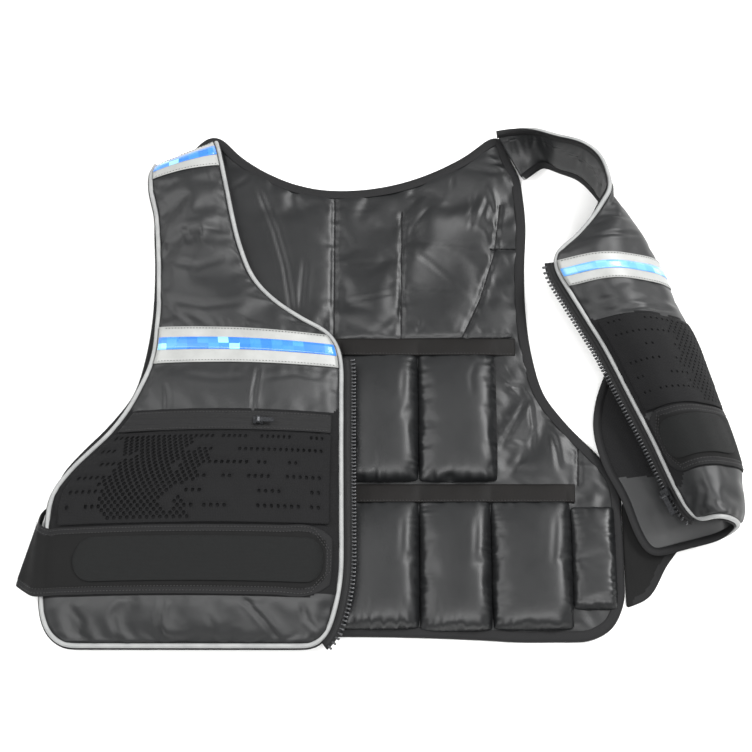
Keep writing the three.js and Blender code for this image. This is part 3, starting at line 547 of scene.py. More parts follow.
# Where a line of places in the photograph lies on a piece
def lineOn(tree, places, step=8):
    spots = []
    for (x0, y0), (x1, y1) in zip(places[:-1], places[1:]):
        count = max(1, round(math.hypot(x1 - x0, y1 - y0) / step))
        spots += [(x0 + (x1 - x0) * k / count, y0 + (y1 - y0) * k / count) for k in range(count)]
    spots.append(places[-1])
    hits = [tree.ray_cast(eye, rayThrough(*spot))[0] for spot in spots]
    return np.array([hit for hit in hits if hit is not None])


def wobble(values, seed):
    return np.array([noise.noise(Vector((value, seed, 0.3 * seed))) for value in values])


# Creases pressed into a cloth piece: a valley with a low ridge on both sides, fading towards its ends.
# Each is its places in the photograph, depth and width in mm, and where they aren't the usual ones the
# length over which its ends fade, in mm, and the ridge as a share of the depth.
usualEnds = [12, 0.4]


def crease(piece, lines):
    tree = treeOf(piece)
    mesh = piece.data
    points, normals, upper = partsOf(mesh)
    move = np.zeros(len(points))
    for places, depth, width, *ends in lines:
        path = lineOn(tree, places)
        if len(path) < 2:
            continue
        ending, ridge = ends + usualEnds[len(ends):]
        width *= mm
        gap, along, total = nearLine(points, path)
        fade = np.clip(np.minimum(along, total - along) / (ending * mm), 0, 1) ** 0.7
        valley = -np.exp(-(gap / width) ** 2) + ridge * np.exp(-((gap - 2.2 * width) / (1.1 * width)) ** 2)
        move += depth * mm * valley * fade
    points += normals * (move * (upper > 0.6))[:, None]
    putCoords(mesh, points)


# Gathers along a seam: short folds across it, which die away from it
def gather(piece, lines, look, seed, outside=True):
    mesh = piece.data
    points, normals, upper = partsOf(mesh)
    move = np.zeros(len(points))
    side = upper > 0.6 if outside else upper < 0.4
    for k, line in enumerate(lines):
        gap, along, _ = nearLine(points, line)
        near = np.nonzero((gap < 3 * look["reach"] * mm) & side)[0]
        wave = wobble(along[near] / (look["spacing"] * mm), seed + 7.3 * k) * 2
        # a second, longer wave makes some gathers longer than others
        longer = 0.6 + 0.7 * wobble(along[near] / (4 * look["spacing"] * mm), seed + 31.7 + k)
        reach = look["reach"] * mm * np.clip(longer, 0.25, 1.4)
        rise = np.exp(-gap[near] / reach) * np.clip(gap[near] / (1.2 * mm), 0, 1)
        move[near] += wave * rise * look["height"] * mm
    points += normals * move[:, None]
    putCoords(mesh, points)


# Cloth simulation: a piece grows and is blown up a little between the places where it is sewn down
clothLook = {"quality": 4, "mass": 0.2, "stretch": 12, "shear": 6, "damping": 8}
clothJobs = []


def makeCloth(piece, sewn, look):
    group = piece.vertex_groups.new(name="sewn")
    for k, weight in enumerate(sewn):
        group.add([k], float(weight), "REPLACE")
    clothJobs.append({"piece": piece, "look": look, "sewn": np.array(sewn), "start": coordsOf(piece.data)})
    cloth = piece.modifiers.new("cloth", "CLOTH")
    settings = cloth.settings
    settings.quality = clothLook["quality"]
    settings.mass = clothLook["mass"]
    settings.tension_stiffness = settings.compression_stiffness = clothLook["stretch"]
    settings.shear_stiffness = clothLook["shear"]
    settings.bending_stiffness = look["stiff"]
    settings.tension_damping = settings.compression_damping = settings.shear_damping = clothLook["damping"]
    settings.vertex_group_mass = "sewn"
    settings.pin_stiffness = 1
    settings.use_pressure = True
    settings.uniform_pressure_force = look["pressure"]
    settings.shrink_min = -look["grow"]
    settings.effector_weights.gravity = 0
    cloth.collision_settings.use_collision = False
    cloth.collision_settings.use_self_collision = False


def runCloth(frames=20):
    for number in range(1, frames + 1):
        bpy.context.scene.frame_set(number)
    for job in clothJobs:
        piece, look, start = job["piece"], job["look"], job["start"]
        graph = bpy.context.evaluated_depsgraph_get()
        moved = coordsOf(piece.evaluated_get(graph).to_mesh())
        piece.evaluated_get(graph).to_mesh_clear()
        piece.modifiers.remove(piece.modifiers["cloth"])
        move = moved - start
        size = np.linalg.norm(move, axis=1)
        cap = look["cap"] * mm
        print(f"{piece.name} moved {size.max() / mm:.1f} mm at most, {size.mean() / mm:.2f} on average")
        shrink = cap * np.tanh(size / cap) / np.maximum(size, 1e-9)
        putCoords(piece.data, start + move * shrink[:, None])
        piece.vertex_groups.clear()
    bpy.context.scene.frame_set(1)


# How firmly each point is sewn down: fully at the rim and underneath, and wherever trim lies over it
def sewnPlaces(piece, rim, cover=None, soft=6 * mm, lines=()):
    mesh = piece.data
    points, normals, upper = partsOf(mesh)
    edge = points[(upper > 0.05) & (upper < 0.95)]
    sewn = np.clip(1 - (nearestGap(points, edge) - 1 * mm) / rim, 0, 1)
    for line in lines:
        sewn = np.maximum(sewn, np.clip(1 - (nearLine(points, line)[0] - 1 * mm) / (3 * mm), 0, 1))
    if cover is not None:
        held = np.zeros(len(points), bool)
        for k in range(len(points)):
            if upper[k] > 0.6:
                start = Vector(points[k]) - Vector(normals[k]) * 0.3 * mm
                held[k] = cover.ray_cast(start, Vector(normals[k]), 6 * mm)[0] is not None
        sewn = np.maximum(sewn, np.clip(1 - nearestGap(points, points[held]) / soft, 0, 1))
    sewn[upper < 0.6] = 1
    return sewn


# Even shares up and across a surface, about a cell apart
def evenly(surface, cell):
    return [np.linspace(0, 1, round(surface[key][-1] / cell) + 1) for key in ("up", "across")]


# Back panel
backLook = {"cell": 5.2 * mm, "stiff": 1.5, "pressure": 1.2, "grow": 0.028, "cap": 2.8}
backGrid = laidOut(sidesOf("back_panel", 35, 2)[0], "x-")
backGrid[:, :, 2] = backHigh[2]
backSurface = surfaceOf(backGrid)
backTop = gridAt(backSurface, *evenly(backSurface, backLook["cell"]))
backUnder = backTop.copy()
backUnder[:, :, 2] = 0
back = slabPiece("back", backTop, backUnder, lining)

# Right and left fronts
frontLook = {"cell": 4 * mm, "stiff": 2.0, "pressure": 1.5, "grow": 0.022, "cap": 1.7}


def frontPiece(name, start, sharp, highestFirst):
    grids = [laidOut(grid, start) for grid in sidesOf(f"{name}_panel", sharp, 2)]
    if highestFirst:
        grids.sort(key=lambda grid: -grid[:, :, 2].mean())
    outer, inner = [surfaceOf(grid) for grid in grids]
    inner["up"], inner["across"] = outer["up"], outer["across"]
    top, under = [gridAt(surface, *evenly(outer, frontLook["cell"])) for surface in (outer, inner)]
    return slabPiece(name, top, under, satin, 0.9 * mm), outer, inner


rightFront, rightOuter, rightInner = frontPiece("right_front", "x+", 35, True)
leftFront, leftOuter, leftInner = frontPiece("left_front", "z+", 40, False)
print("panels made", [len(piece.data.vertices) for piece in (back, rightFront, leftFront)])

# Weight pockets: each holds a flat bag of weight, so its sides rise steeply and its face is nearly flat
pocketLook = {
    "cell": 3.2 * mm, "stiff": 2.5, "pressure": 1.5, "grow": 0.012, "cap": 0.9, "gap": 1.6 * mm,
    "edge": 1.6 * mm, "sideSteep": 7, "endSteep": 6, "cornerPull": 0.03, "ridge": 0.42, "lean": 0.42,
    "mouth": 0.6, "foot": 2.2 * mm,
}
pocketNames = [f"{side}_{name}" for side in ("left", "right") for name in (
    *[f"lower_pocket_{which}" for which in (1, 2, 3, "side")], "upper_pocket_1", "upper_pocket_2")]


def pocketPiece(name):
    low, high = [Vector(corner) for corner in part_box(name)]
    cell = pocketLook["cell"] * (1 if name.startswith("left") else 2)
    low.x, high.x = low.x - pocketLook["gap"], high.x + pocketLook["gap"]
    low.y -= pocketLook["foot"]
    u, v = np.meshgrid(
        np.linspace(-1, 1, 2 * round((high.x - low.x) / cell / 2) + 1),
        np.linspace(-1, 1, 2 * round((high.y - low.y) / cell / 2) + 1))
    pull = pocketLook["cornerPull"]
    # the weight leans to the left of a soft ridge, and the mouth is drawn down under its band
    ridge = pocketLook["ridge"]
    climb = np.where(u < ridge, (u + 1) / (1 + ridge), 1 - 0.7 * ((u - ridge) / (1 - ridge)) ** 2)
    lean = 1 - pocketLook["lean"] * (1 - np.sin(climb * math.pi / 2) ** 1.5)
    ends = np.where(v < 0, np.sqrt(1 - np.abs(v) ** pocketLook["endSteep"]),
                    1 - pocketLook["mouth"] * np.clip(v, 0, 1) ** 3)
    crown = np.sqrt(1 - np.abs(u) ** pocketLook["sideSteep"]) * lean * ends
    edge = low.z + pocketLook["edge"]
    top = np.stack([
        (low.x + high.x) / 2 + (high.x - low.x) / 2 * u * (1 - pull * np.abs(v) ** 5),
        (low.y + high.y) / 2 + (high.y - low.y) / 2 * v * (1 - pull * np.abs(u) ** 5 * (v < 0)),
        edge + (high.z - edge) * crown,
    ], axis=-1)
    under = top.copy()
    under[:, :, 2] = low.z
    piece = name.replace("lower_pocket", "low_bag").replace("upper_pocket", "high_bag")
    return slabPiece(piece, top, under, lining, 0.4 * mm, 1)


pockets = {name: pocketPiece(name) for name in pocketNames}
print("pockets made")

# Sewing and simulation
leftCover = treeOf(*[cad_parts[name] for name in (
    "left_chest_tape", "left_mesh_pocket", "left_strap")])
rightCover = treeOf(*[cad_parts[name] for name in (
    "right_chest_tape", "right_shoulder_tape", "right_mesh_pocket", "right_pocket_zip", "right_strap")])
backCover = treeOf(*[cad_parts[name] for name in (
    *pocketNames, "lower_pocket_band", "upper_pocket_band", "right_front_panel")])
backTree = treeOf(back)
seamPlaces = [
    [(335, 200), (334, 338)],
    [(402, 212), (401, 340)],
    [(500, 205), (494, 255), (480, 300), (462, 338)],
    [(340, 341), (400, 339), (460, 338), (500, 338), (512, 337)],
    [(490, 249), (516, 249)],
    [(578, 440), (578, 486)],
]
backSeams = [lineOn(backTree, places) for places in seamPlaces]
makeCloth(back, sewnPlaces(back, 8 * mm, backCover, 8 * mm, backSeams), backLook)
makeCloth(rightFront, sewnPlaces(rightFront, 7 * mm, rightCover), frontLook)
makeCloth(leftFront, sewnPlaces(leftFront, 7 * mm, leftCover), frontLook)
for name, piece in pockets.items():
    if name.startswith("left"):
        makeCloth(piece, sewnPlaces(piece, 2 * mm), pocketLook)
runCloth()
print("cloth settled")
for piece in (back, rightFront, leftFront, *pockets.values()):
    subdivided(piece)

# Creases and gathers, placed from the photograph
crease(back, [
    *[(places, 1.7, 2.0, 2, 0.12) for places in seamPlaces],
    ([(438, 200), (420, 235), (393, 280), (365, 328)], -3.6, 19),
    ([(258, 187), (275, 230), (285, 265), (293, 315)], 0.8, 2.6), ([(305, 258), (300, 312)], 0.7, 2.4),
    ([(232, 187), (242, 182), (250, 176)], 1.0, 2), ([(345, 302), (375, 298), (402, 292)], 0.5, 1.5),
    ([(402, 287), (440, 288), (458, 290)], 0.6, 1.5), ([(408, 250), (430, 262), (455, 282)], 0.7, 1.8),
    ([(415, 244), (450, 243), (480, 246)], 0.6, 1.6), ([(440, 244), (465, 254), (482, 256)], 0.5, 1.6),
    ([(455, 282), (475, 297)], 0.6, 1.5), ([(345, 210), (375, 209)], 0.4, 1.5),
    ([(350, 262), (390, 262)], 0.35, 1.6), ([(452, 175), (453, 190)], 0.7, 1.6),
    ([(471, 195), (472, 208), (468, 220)], 0.9, 1.7), ([(488, 196), (482, 214), (478, 226)], 0.9, 1.7),
    ([(478, 190), (470, 230)], 0.6, 1.6), ([(468, 166), (490, 172), (515, 172)], 1.3, 2.2),
    ([(478, 160), (500, 164), (515, 163)], 1.2, 2.0), ([(485, 152), (497, 158)], 0.9, 2.0),
    ([(415, 317), (420, 336)], 0.7, 1.6), ([(428, 322), (412, 337)], 0.6, 1.6),
    ([(529, 395), (515, 422), (499, 450)], 1.4, 2.2), ([(530, 397), (533, 425), (531, 452)], 1.2, 2.0),
    ([(552, 432), (557, 452), (560, 472)], 1.2, 2.2), ([(526, 446), (520, 462), (510, 474)], 1.2, 2.4),
    ([(503, 438), (529, 441)], 0.9, 1.7), ([(502, 386), (526, 388)], 0.8, 1.7),
    ([(502, 404), (518, 404)], 0.5, 1.5),
])
for name, places in (
    ("upper_pocket_2", [(476, 360), (471, 376), (473, 396)]), ("upper_pocket_2", [(484, 440), (489, 458)]),
    ("upper_pocket_1", [(404, 366), (402, 400)]), ("lower_pocket_1", [(403, 516), (401, 560)]),
    ("lower_pocket_2", [(477, 516), (475, 562)]), ("lower_pocket_3", [(556, 514), (553, 566)]),
    ("lower_pocket_side", [(585, 526), (598, 530), (612, 533)]),
    ("lower_pocket_side", [(582, 602), (600, 598), (614, 597)]),
):
    crease(pockets[f"left_{name}"], [(places, 0.4, 2.4, 14, 0.25)])
crease(rightFront, [
    ([(165, 383), (167, 398), (166, 413)], 1.2, 1.5, 5),
    ([(258, 366), (254, 390), (252, 416)], 1.5, 1.5, 5),
    ([(163, 598), (158, 622), (163, 640)], 1.6, 1.6, 6),
    ([(243, 598), (256, 612), (265, 622), (280, 641)], 2.0, 1.8, 6), ([(240, 598), (262, 606)], 1.0, 2.0),
    ([(158, 628), (172, 642)], 0.9, 2.0), ([(227, 318), (229, 330)], 0.9, 1.7),
    ([(245, 318), (247, 331)], 0.9, 1.7), ([(276, 320), (278, 330)], 0.9, 1.7),
    ([(288, 322), (298, 334)], 0.9, 1.7), ([(178, 232), (205, 226), (232, 232)], 1.0, 3.2),
    ([(172, 262), (198, 266), (225, 258)], 0.8, 3.0), ([(170, 300), (205, 306), (245, 302)], 0.7, 3.0),
    ([(206, 612), (214, 628), (212, 642)], 0.9, 2.0), ([(120, 600), (112, 618), (118, 640)], 1.0, 2.2),
    ([(300, 600), (308, 620), (322, 634)], 1.2, 1.7), ([(70, 606), (82, 622), (78, 640)], 0.9, 2.2),
    ([(185, 374), (215, 378), (248, 376)], 0.5, 2.6), ([(262, 378), (295, 374), (325, 380)], 0.5, 2.4),
])
crease(leftFront, [
    ([(592, 236), (612, 233), (640, 234)], 1.2, 1.8), ([(600, 214), (616, 215), (630, 218)], 0.8, 2.2),
    ([(596, 300), (612, 297), (622, 298)], 0.7, 1.5), ([(602, 312), (640, 306), (676, 310)], 0.9, 2.0),
    ([(577, 145), (576, 160)], 1.0, 1.4), ([(696, 470), (704, 490), (700, 512)], 0.8, 3.0),
])

gather(back, backSeams, {"height": 0.7, "reach": 6, "spacing": 5}, 3)
shoulderRuffle = lineOn(treeOf(leftFront), [(502, 142), (525, 137), (560, 148), (590, 165), (603, 190)])
gather(leftFront, [shoulderRuffle], {"height": 1.6, "reach": 16, "spacing": 5}, 17, outside=False)
# heights, reaches and spacings in mm, and the seed of the first pocket
pocketGathers = {
    "sides": ({"height": 1.2, "reach": 6, "spacing": 3.6}, 0),
    "foot": ({"height": 1.7, "reach": 9, "spacing": 5.5}, 50),
    "mouth": ({"height": 0.7, "reach": 5, "spacing": 6}, 80),
    "rise": 7 * mm, "out": 0.5 * mm,
}
for number, (name, piece) in enumerate(pockets.items()):
    if not name.startswith("left"):
        continue
    low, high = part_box(name)
    z = low[2] + pocketGathers["rise"]
    west, east, south, north = low[0] - pocketGathers["out"], high[0] + pocketGathers["out"], low[1], high[1]
    for place, lines, step in (
        ("sides", [[(x, south, z), (x, north, z)] for x in (west, east)], 3.1),
        ("foot", [[(west, south, z), (east, south, z)]], 3.1),
        ("mouth", [[(west, north, z), (east, north, z)]], 1),
    ):
        look, seed = pocketGathers[place]
        gather(piece, np.array(lines), look, seed + step * number)


# Edges of the fronts: places along the side, the hem and the zip edge, with the way out and up at each
def edgePlaces(outer, inner, facing, spacing=3 * mm):
    def edge(ups, acrosses):
        flip = (lambda points: points[:, 0]) if len(acrosses) == 1 else (lambda points: points[0])
        return [flip(gridAt(surface, ups, acrosses)) for surface in (outer, inner)]
    fine = np.linspace(0, 1, 400)
    parts = [edge(fine[::-1], [1]), edge([0], fine[::-1][1:]), edge(fine[1:], [0])]
    tops, bottoms = [np.concatenate([part[k] for part in parts]) for k in (0, 1)]
    middle, rise = (tops + bottoms) / 2, tops - bottoms
    length = lengthsAlong(middle)
    where = np.linspace(0, length[-1], round(length[-1] / spacing))
    middle, rise = [smoothed(valuesAt(where, length, values), 8) for values in (middle, rise)]
    along = unit(np.gradient(middle, axis=0))
    up = unit(rise - (rise * along).sum(axis=1, keepdims=True) * along)
    return {"middle": middle, "along": along, "up": up, "out": np.cross(along, up) * facing}


def partOf(places, keep):
    return {key: values[keep] for key, values in places.items()}


# A flat grid, its texture layer, and the column and row of each of its corners
def gridMesh(columns, rows):
    bm = bmesh.new()
    cloth = bm.loops.layers.uv.new("cloth")
    made = bmesh.ops.create_grid(bm, x_segments=columns, y_segments=rows, size=0.5)
    return bm, cloth, {vert: (round((vert.co.x + 0.5) * columns), round((vert.co.y + 0.5) * rows))
                       for vert in made["verts"]}


# A profile of [out, up] corners in millimetres, swept along places
def swept(name, places, profile, material, closed=False):
    count, sides = len(places["middle"]), len(profile)
    bm, cloth, spots = gridMesh(count if closed else count - 1, sides)
    length = lengthsAlong(places["middle"])
    for face in bm.faces:
        for loop in face.loops:
            i, k = spots[loop.vert]
            loop[cloth].uv = (length[min(i, count - 1)], k * 2 * mm)
    for vert, (i, k) in spots.items():
        i, (out, up) = i % count, profile[k % sides]
        vert.co = places["middle"][i] + (places["out"][i] * out + places["up"][i] * up) * mm
    bmesh.ops.remove_doubles(bm, verts=bm.verts, dist=0.01 * mm)
    if not closed:
        bmesh.ops.holes_fill(bm, edges=[edge for edge in bm.edges if edge.is_boundary])
    bmesh.ops.recalc_face_normals(bm, faces=bm.faces)
    return newObject(name, bm, material)


def ring(radius, out, up=0, sides=12):
    angles = [2 * math.pi * k / sides for k in range(sides)]
    return [(out + radius * math.cos(angle), up + radius * math.sin(angle)) for angle in angles]


# Sizes in mm. A tooth's head is a little wider than its foot.
trim = {
    "gap": 0.7, "piping": 2.2, "zipStart": 5.3, "zipEnd": 14.2, "zipThick": 0.5, "toothPitch": 3.4,
    "tooth": (1.9, 4.6, 3.0), "head": 1.15, "foot": 0.8, "bevel": 0.45, "darkEdgeOut": 3.1, "darkEdgeThick": 0.8,
}


def zipTooth(bm, matrix):
    start = set(bm.verts)
    made = bmesh.ops.create_cube(bm, size=1)
    along, out, thick = trim["tooth"]
    for vert in made["verts"]:
        head = trim["head"] if vert.co.y > 0 else trim["foot"]
        vert.co = Vector((vert.co.x * along * head, vert.co.y * out, vert.co.z * thick * head)) * mm
    faces = [face for face in bm.faces if all(vert not in start for vert in face.verts)]
    edges = {edge for face in faces for edge in face.edges}
    bmesh.ops.bevel(bm, geom=list(edges), offset=trim["bevel"] * mm, offset_type="OFFSET", segments=1,
                    profile=0.5, affect="EDGES", material=-1)
    bmesh.ops.transform(bm, matrix=matrix, verts=[vert for vert in bm.verts if vert not in start])


def frameOf(place, out, up, along):
    matrix = Matrix((Vector(along), Vector(out), Vector(up))).transposed().to_4x4()
    matrix.translation = Vector(place)
    return matrix


def frontTrim(side, outer, inner, facing):
    places = edgePlaces(outer, inner, facing)
    centre = trim["gap"] + trim["piping"]
    piping = swept(f"{side}_piping_cord", places, ring(trim["piping"], centre), pipingCloth)
    dressed(piping, "piping", f"{side}_piping")
    # A dark strip under the piping, which shows a little beyond it along the whole edge
    under, beyond = -trim["piping"] - 0.1, centre + trim["darkEdgeOut"]
    below = under - trim["darkEdgeThick"]
    flange = swept(f"{side}_piping_dark_edge", places, [
        (-1.2, under), (beyond, under), (beyond + 0.2, under - 0.4), (beyond - 0.1, below), (-1.2, below),
    ], bindingTape)
    dressed(flange, "binding")
    profile = [(-0.6, 1.4), (0.9, 0.9), (0.9, -1.2), (-0.6, -1.4)]
    dressed(swept(f"{side}_piping_seam", places, profile, bindingTape), "binding")
    boxLow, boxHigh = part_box(f"{side}_zip_tape")
    heights = places["middle"][:, 1]
    # the places start up the side, so the zip edge is in their second half
    zipHalf = np.arange(len(heights)) > len(heights) * 0.55
    keep = zipHalf & (heights > boxLow[1] + 3 * mm) & (heights < boxHigh[1] - 1 * mm)
    zipLine = partOf(places, keep)
    start, end, thick = trim["zipStart"], trim["zipEnd"], trim["zipThick"]
    tape = swept(f"{side}_zip_cloth", zipLine, [
        (start, -thick), (end - 2.6, -thick), (end - 2.2, -thick - 0.5), (end - 0.6, -thick - 0.5),
        (end, 0), (end - 0.6, thick + 0.5), (end - 2.2, thick + 0.5), (end - 2.6, thick), (start + 3.4, thick),
        (start + 3.1, thick + 0.25), (start + 2.8, thick), (start, thick),
    ], zipCloth)
    dressed(tape, "zip", f"{side}_zip_tape")
    length = lengthsAlong(zipLine["middle"])
    teeth = bmesh.new()
    for where in np.arange(2 * mm, length[-1] - 1 * mm, trim["toothPitch"] * mm):
        i = int(np.searchsorted(length, where))
        share = (where - length[i - 1]) / (length[i] - length[i - 1])
        near = {key: values[i - 1] * (1 - share) + values[i] * share for key, values in zipLine.items()}
        at = near["middle"] + (near["out"] * (end + 0.2) + near["up"] * 0.5) * mm
        zipTooth(teeth, frameOf(at, near["out"], near["up"], near["along"]))
    bmesh.ops.recalc_face_normals(teeth, faces=teeth.faces)
    dressed(newObject(f"{side}_zip_teeth", teeth, acetal), "teeth", f"{side}_zip_chain")
    return places


rightEdge = frontTrim("right", rightOuter, rightInner, 1)
leftEdge = frontTrim("left", leftOuter, leftInner, -1)
for piece, edge, seed in ((rightFront, rightEdge, 5), (leftFront, leftEdge, 9)):
    line = edge["middle"] + edge["up"] * 2 * mm
    gather(piece, [line], {"height": 1.2, "reach": 8, "spacing": 8}, seed)
finishedBack = treeOf(back)
for number, places in enumerate(seamPlaces):
    line = smoothed(lineOn(finishedBack, places, 3), 3)
    line = flatPlaces(line, np.gradient(line, axis=0))
    dressed(swept(f"back_seam_{number + 1}", line, ring(0.55, 0, 0.1, 6), bindingTape), "lining")
print("piping and zips made")

# Binding round the back: a folded tape that laps over the lining
bindingLook = {"places": 619, "smoothing": 6, "profile": [
    (-6.4, 2.7), (-6.2, 3.3), (-3, 3.5), (1, 3.5), (2.8, 2.6), (3.7, 0.6), (3.4, -1.4), (2.4, -2.45),
    (-1, -2.45), (0.9, -1.6), (1.5, 0), (1.2, 2.4), (-1, 2.7),
]}
fine = np.linspace(0, 1, 160)
rim = np.concatenate([
    gridAt(backSurface, [0], fine)[0], gridAt(backSurface, fine[1:], [1])[:, 0],
    gridAt(backSurface, [1], fine[::-1][1:])[0], gridAt(backSurface, fine[::-1][1:], [0])[:, 0],
])
rim[:, 2] = backHigh[2] / 2
rimLength = lengthsAlong(rim)
rim = valuesAt(np.linspace(0, rimLength[-1], bindingLook["places"] + 1)[:-1], rimLength, rim)
for _ in range(bindingLook["smoothing"]):
    rim = rim / 2 + (np.roll(rim, 1, axis=0) + np.roll(rim, -1, axis=0)) / 4
rimPlaces = flatPlaces(rim, np.roll(rim, -1, axis=0) - np.roll(rim, 1, axis=0))
binding = swept("back_binding", rimPlaces, bindingLook["profile"], bindingTape, closed=True)
points = coordsOf(binding.data)
lift = (bumpsAt(points, 55) * 0.5 + bumpsAt(points, 160) * 0.35) * mm
points[:, 2] += np.where(points[:, 2] > backHigh[2], lift, 0)
putCoords(binding.data, points)
dressed(subdivided(binding), "binding", "back_edge_binding")


# Short stitches along lines of points with normals
def stitched(name, lines, pitch=3.0, length=2.1, wide=0.32, slotName="satin"):
    bm = bmesh.new()
    for points, normals in lines:
        total = lengthsAlong(points)
        for where in np.arange(pitch * mm, total[-1] - pitch * mm, pitch * mm):
            at, ahead, normal = [valuesAt(spot, total, values) for spot, values in (
                (where, points), (where + 0.8 * mm, points), (where, normals))]
            along = Vector(ahead - at).normalized()
            side = Vector(normal).cross(along).normalized()
            matrix = frameOf(at, side, along.cross(side), along)
            size = Matrix.Diagonal((length / 2 * mm, wide * mm, wide * 0.8 * mm, 1))
            bmesh.ops.create_uvsphere(bm, u_segments=5, v_segments=4, radius=1, matrix=matrix @ size)
    dressed(newObject(name, bm, thread), slotName)


# A line on a surface, through [up, across] shares, raised by lift
def lineAlong(surface, facing, lift, spots, count=60):
    spots = np.array(spots)
    t = np.linspace(0, len(spots) - 1, count)
    ups, acrosses = [np.interp(t, np.arange(len(spots)), spots[:, k]) for k in (0, 1)]
    step = 0.004
    points, normals = np.zeros((count, 3)), np.zeros((count, 3))
    for k, (up, across) in enumerate(zip(ups, acrosses)):
        near = gridAt(surface, *[[max(share - step, 0), share, min(share + step, 1)] for share in (up, across)])
        normal = np.cross(near[2, 1] - near[0, 1], near[1, 2] - near[1, 0]) * facing
        normals[k] = normal / np.linalg.norm(normal)
        points[k] = near[1, 1] + normals[k] * lift * mm
    return points, normals


def topOf(nodeName, start, sharp=45):
    return surfaceOf(laidOut(sidesOf(nodeName, sharp)[0], start))


# Which way a surface's normals have to be turned to point away from a place inside
def facingOf(surface, inside):
    points = surface["points"]
    normals = normalsOf(points, 1)
    middle = (points.shape[0] // 2, points.shape[1] // 2)
    return 1 if np.dot(normals[middle], points[middle] - np.array(inside)) > 0 else -1


# A slab on a surface, from one lift above it to another
def slabOn(name, surface, facing, lifts, rows, columns, *look, ups=(0, 1), acrosses=(0, 1)):
    top, under = [raised(surface, facing, lift, rows, columns, ups, acrosses) for lift in lifts]
    return slabPiece(name, top, under, *look)


def stitchLines(surface, facing, lift, ups):
    return [lineAlong(surface, facing, lift, [(up, 0.01), (up, 0.5), (up, 0.99)], 90) for up in ups]


# Reflective tapes: the cloth tape with a glossy stripe along it
tapeLook = {
    "cell": 4 * mm, "rows": 10, "lifts": (0.1 * mm, -0.7 * mm), "wall": 0.1 * mm, "bumps": 40,
    "bumpHeight": 0.35, "stripeRows": 4, "stripeLifts": (0.75 * mm, 0.1 * mm), "stripeEnds": (0.004, 0.996),
    "stitches": (0.05, 0.95),
}


def tapePiece(name, start, stripeRows, inside, film=bluePrism):
    surface = topOf(name, start)
    facing = facingOf(surface, inside)
    columns = round(surface["across"][-1] / tapeLook["cell"])
    tape = slabOn(f"{name}_cloth", surface, facing, tapeLook["lifts"], tapeLook["rows"], columns,
                  reflectiveTape, tapeLook["wall"], 0)
    points, normals, _ = partsOf(tape.data)
    lift = bumpsAt(points, tapeLook["bumps"]) * tapeLook["bumpHeight"] * mm
    putCoords(tape.data, points + normals * np.clip(lift, 0, 1)[:, None])
    dressed(tape, "tape", name)
    stripe = slabOn(f"{name}_film", surface, facing, tapeLook["stripeLifts"], tapeLook["stripeRows"], columns,
                    film, tapeLook["wall"], 0, ups=stripeRows, acrosses=tapeLook["stripeEnds"])
    dressed(stripe, "stripe", f"{name}_stripe")
    stitched(f"{name}_stitches", stitchLines(surface, facing, 0.35, tapeLook["stitches"]), slotName="tape")


rightInside = (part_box("right_front_panel")[0][0] * 0.5, 0, -0.5)
leftMiddle = [(a + b) / 2 for a, b in zip(*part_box("left_mesh_pocket"))]
leftTapeMiddle = [(a + b) / 2 for a, b in zip(*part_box("left_chest_tape"))]
tapePiece("right_chest_tape", "x+", (0.35, 0.68), rightInside)
tapePiece("right_shoulder_tape", "x+", (0.36, 0.7), rightInside)
tapePiece("left_chest_tape", "z+", (0.37, 0.67), leftTapeMiddle, paleBluePrism)
print("tapes made")


# Knitted mesh pockets: real holes in every other cell where the knit is open, and in runs along every
# fourth row elsewhere
meshLook = {
    "wide": 2.8 * mm, "high": 3.5 * mm, "border": 0.82 * mm, "thick": 0.9 * mm, "rib": 0.12 * mm,
    "wave": np.array([22, 60, 22]), "spread": 0.14, "every": 4, "runs": -0.01,
}


def knittedPiece(name, nodeName, start, inside, rough, openFrom, openTo):
    surface = topOf(nodeName, start)
    facing = facingOf(surface, inside)
    columns = round(surface["across"][-1] / meshLook["wide"])
    rows = round(surface["up"][-1] / meshLook["high"])
    points = raised(surface, facing, 0.0, rows, columns)
    normals = normalsOf(points, facing)
    wave = np.array([bumpsAt(row * meshLook["wave"], 1) for row in points])
    ribs = meshLook["rib"] * np.where(np.arange(rows + 1) % 2, 1, -1)[:, None]
    points = points + normals * (np.clip(wave, -0.2, 1) * rough * mm + ribs)[:, :, None]
    length = lengthsAlong(points.transpose(1, 0, 2)), lengthsAlong(points)
    bm, cloth, spots = gridMesh(columns, rows)
    holes = []
    for face in bm.faces:
        j, i = [min(spots[vert][k] for vert in face.verts) for k in (0, 1)]
        spread = noise.noise(Vector((j * 0.13, i * 0.21, 3))) * meshLook["spread"]
        inRun = i % meshLook["every"] == 0 and spread > meshLook["runs"]
        isOpen = openFrom < j / columns + spread < openTo or inRun
        if isOpen and (i + j) % 2 and 0 < i < rows - 1 and 1 < j < columns - 2:
            holes.append(face)
        for loop in face.loops:
            loop[cloth].uv = [length[k][spots[loop.vert][k]] for k in (0, 1)]
    for vert, (j, i) in spots.items():
        vert.co = points[i, j]
    bmesh.ops.inset_individual(bm, faces=holes, thickness=meshLook["border"])
    bmesh.ops.delete(bm, geom=holes, context="FACES")
    bm.normal_update()
    i, j = rows // 2, columns // 2
    near = min(bm.faces, key=lambda face: (face.calc_center_median() - Vector(points[i, j])).length)
    if near.normal.dot(Vector(normals[i, j])) < 0:
        bmesh.ops.reverse_faces(bm, faces=bm.faces)
    piece = newObject(name, bm, knitMesh)
    wall = piece.modifiers.new("wall", "SOLIDIFY")
    wall.thickness, wall.offset = meshLook["thick"], -1
    settled(piece)
    dressed(subdivided(piece), "mesh", nodeName)


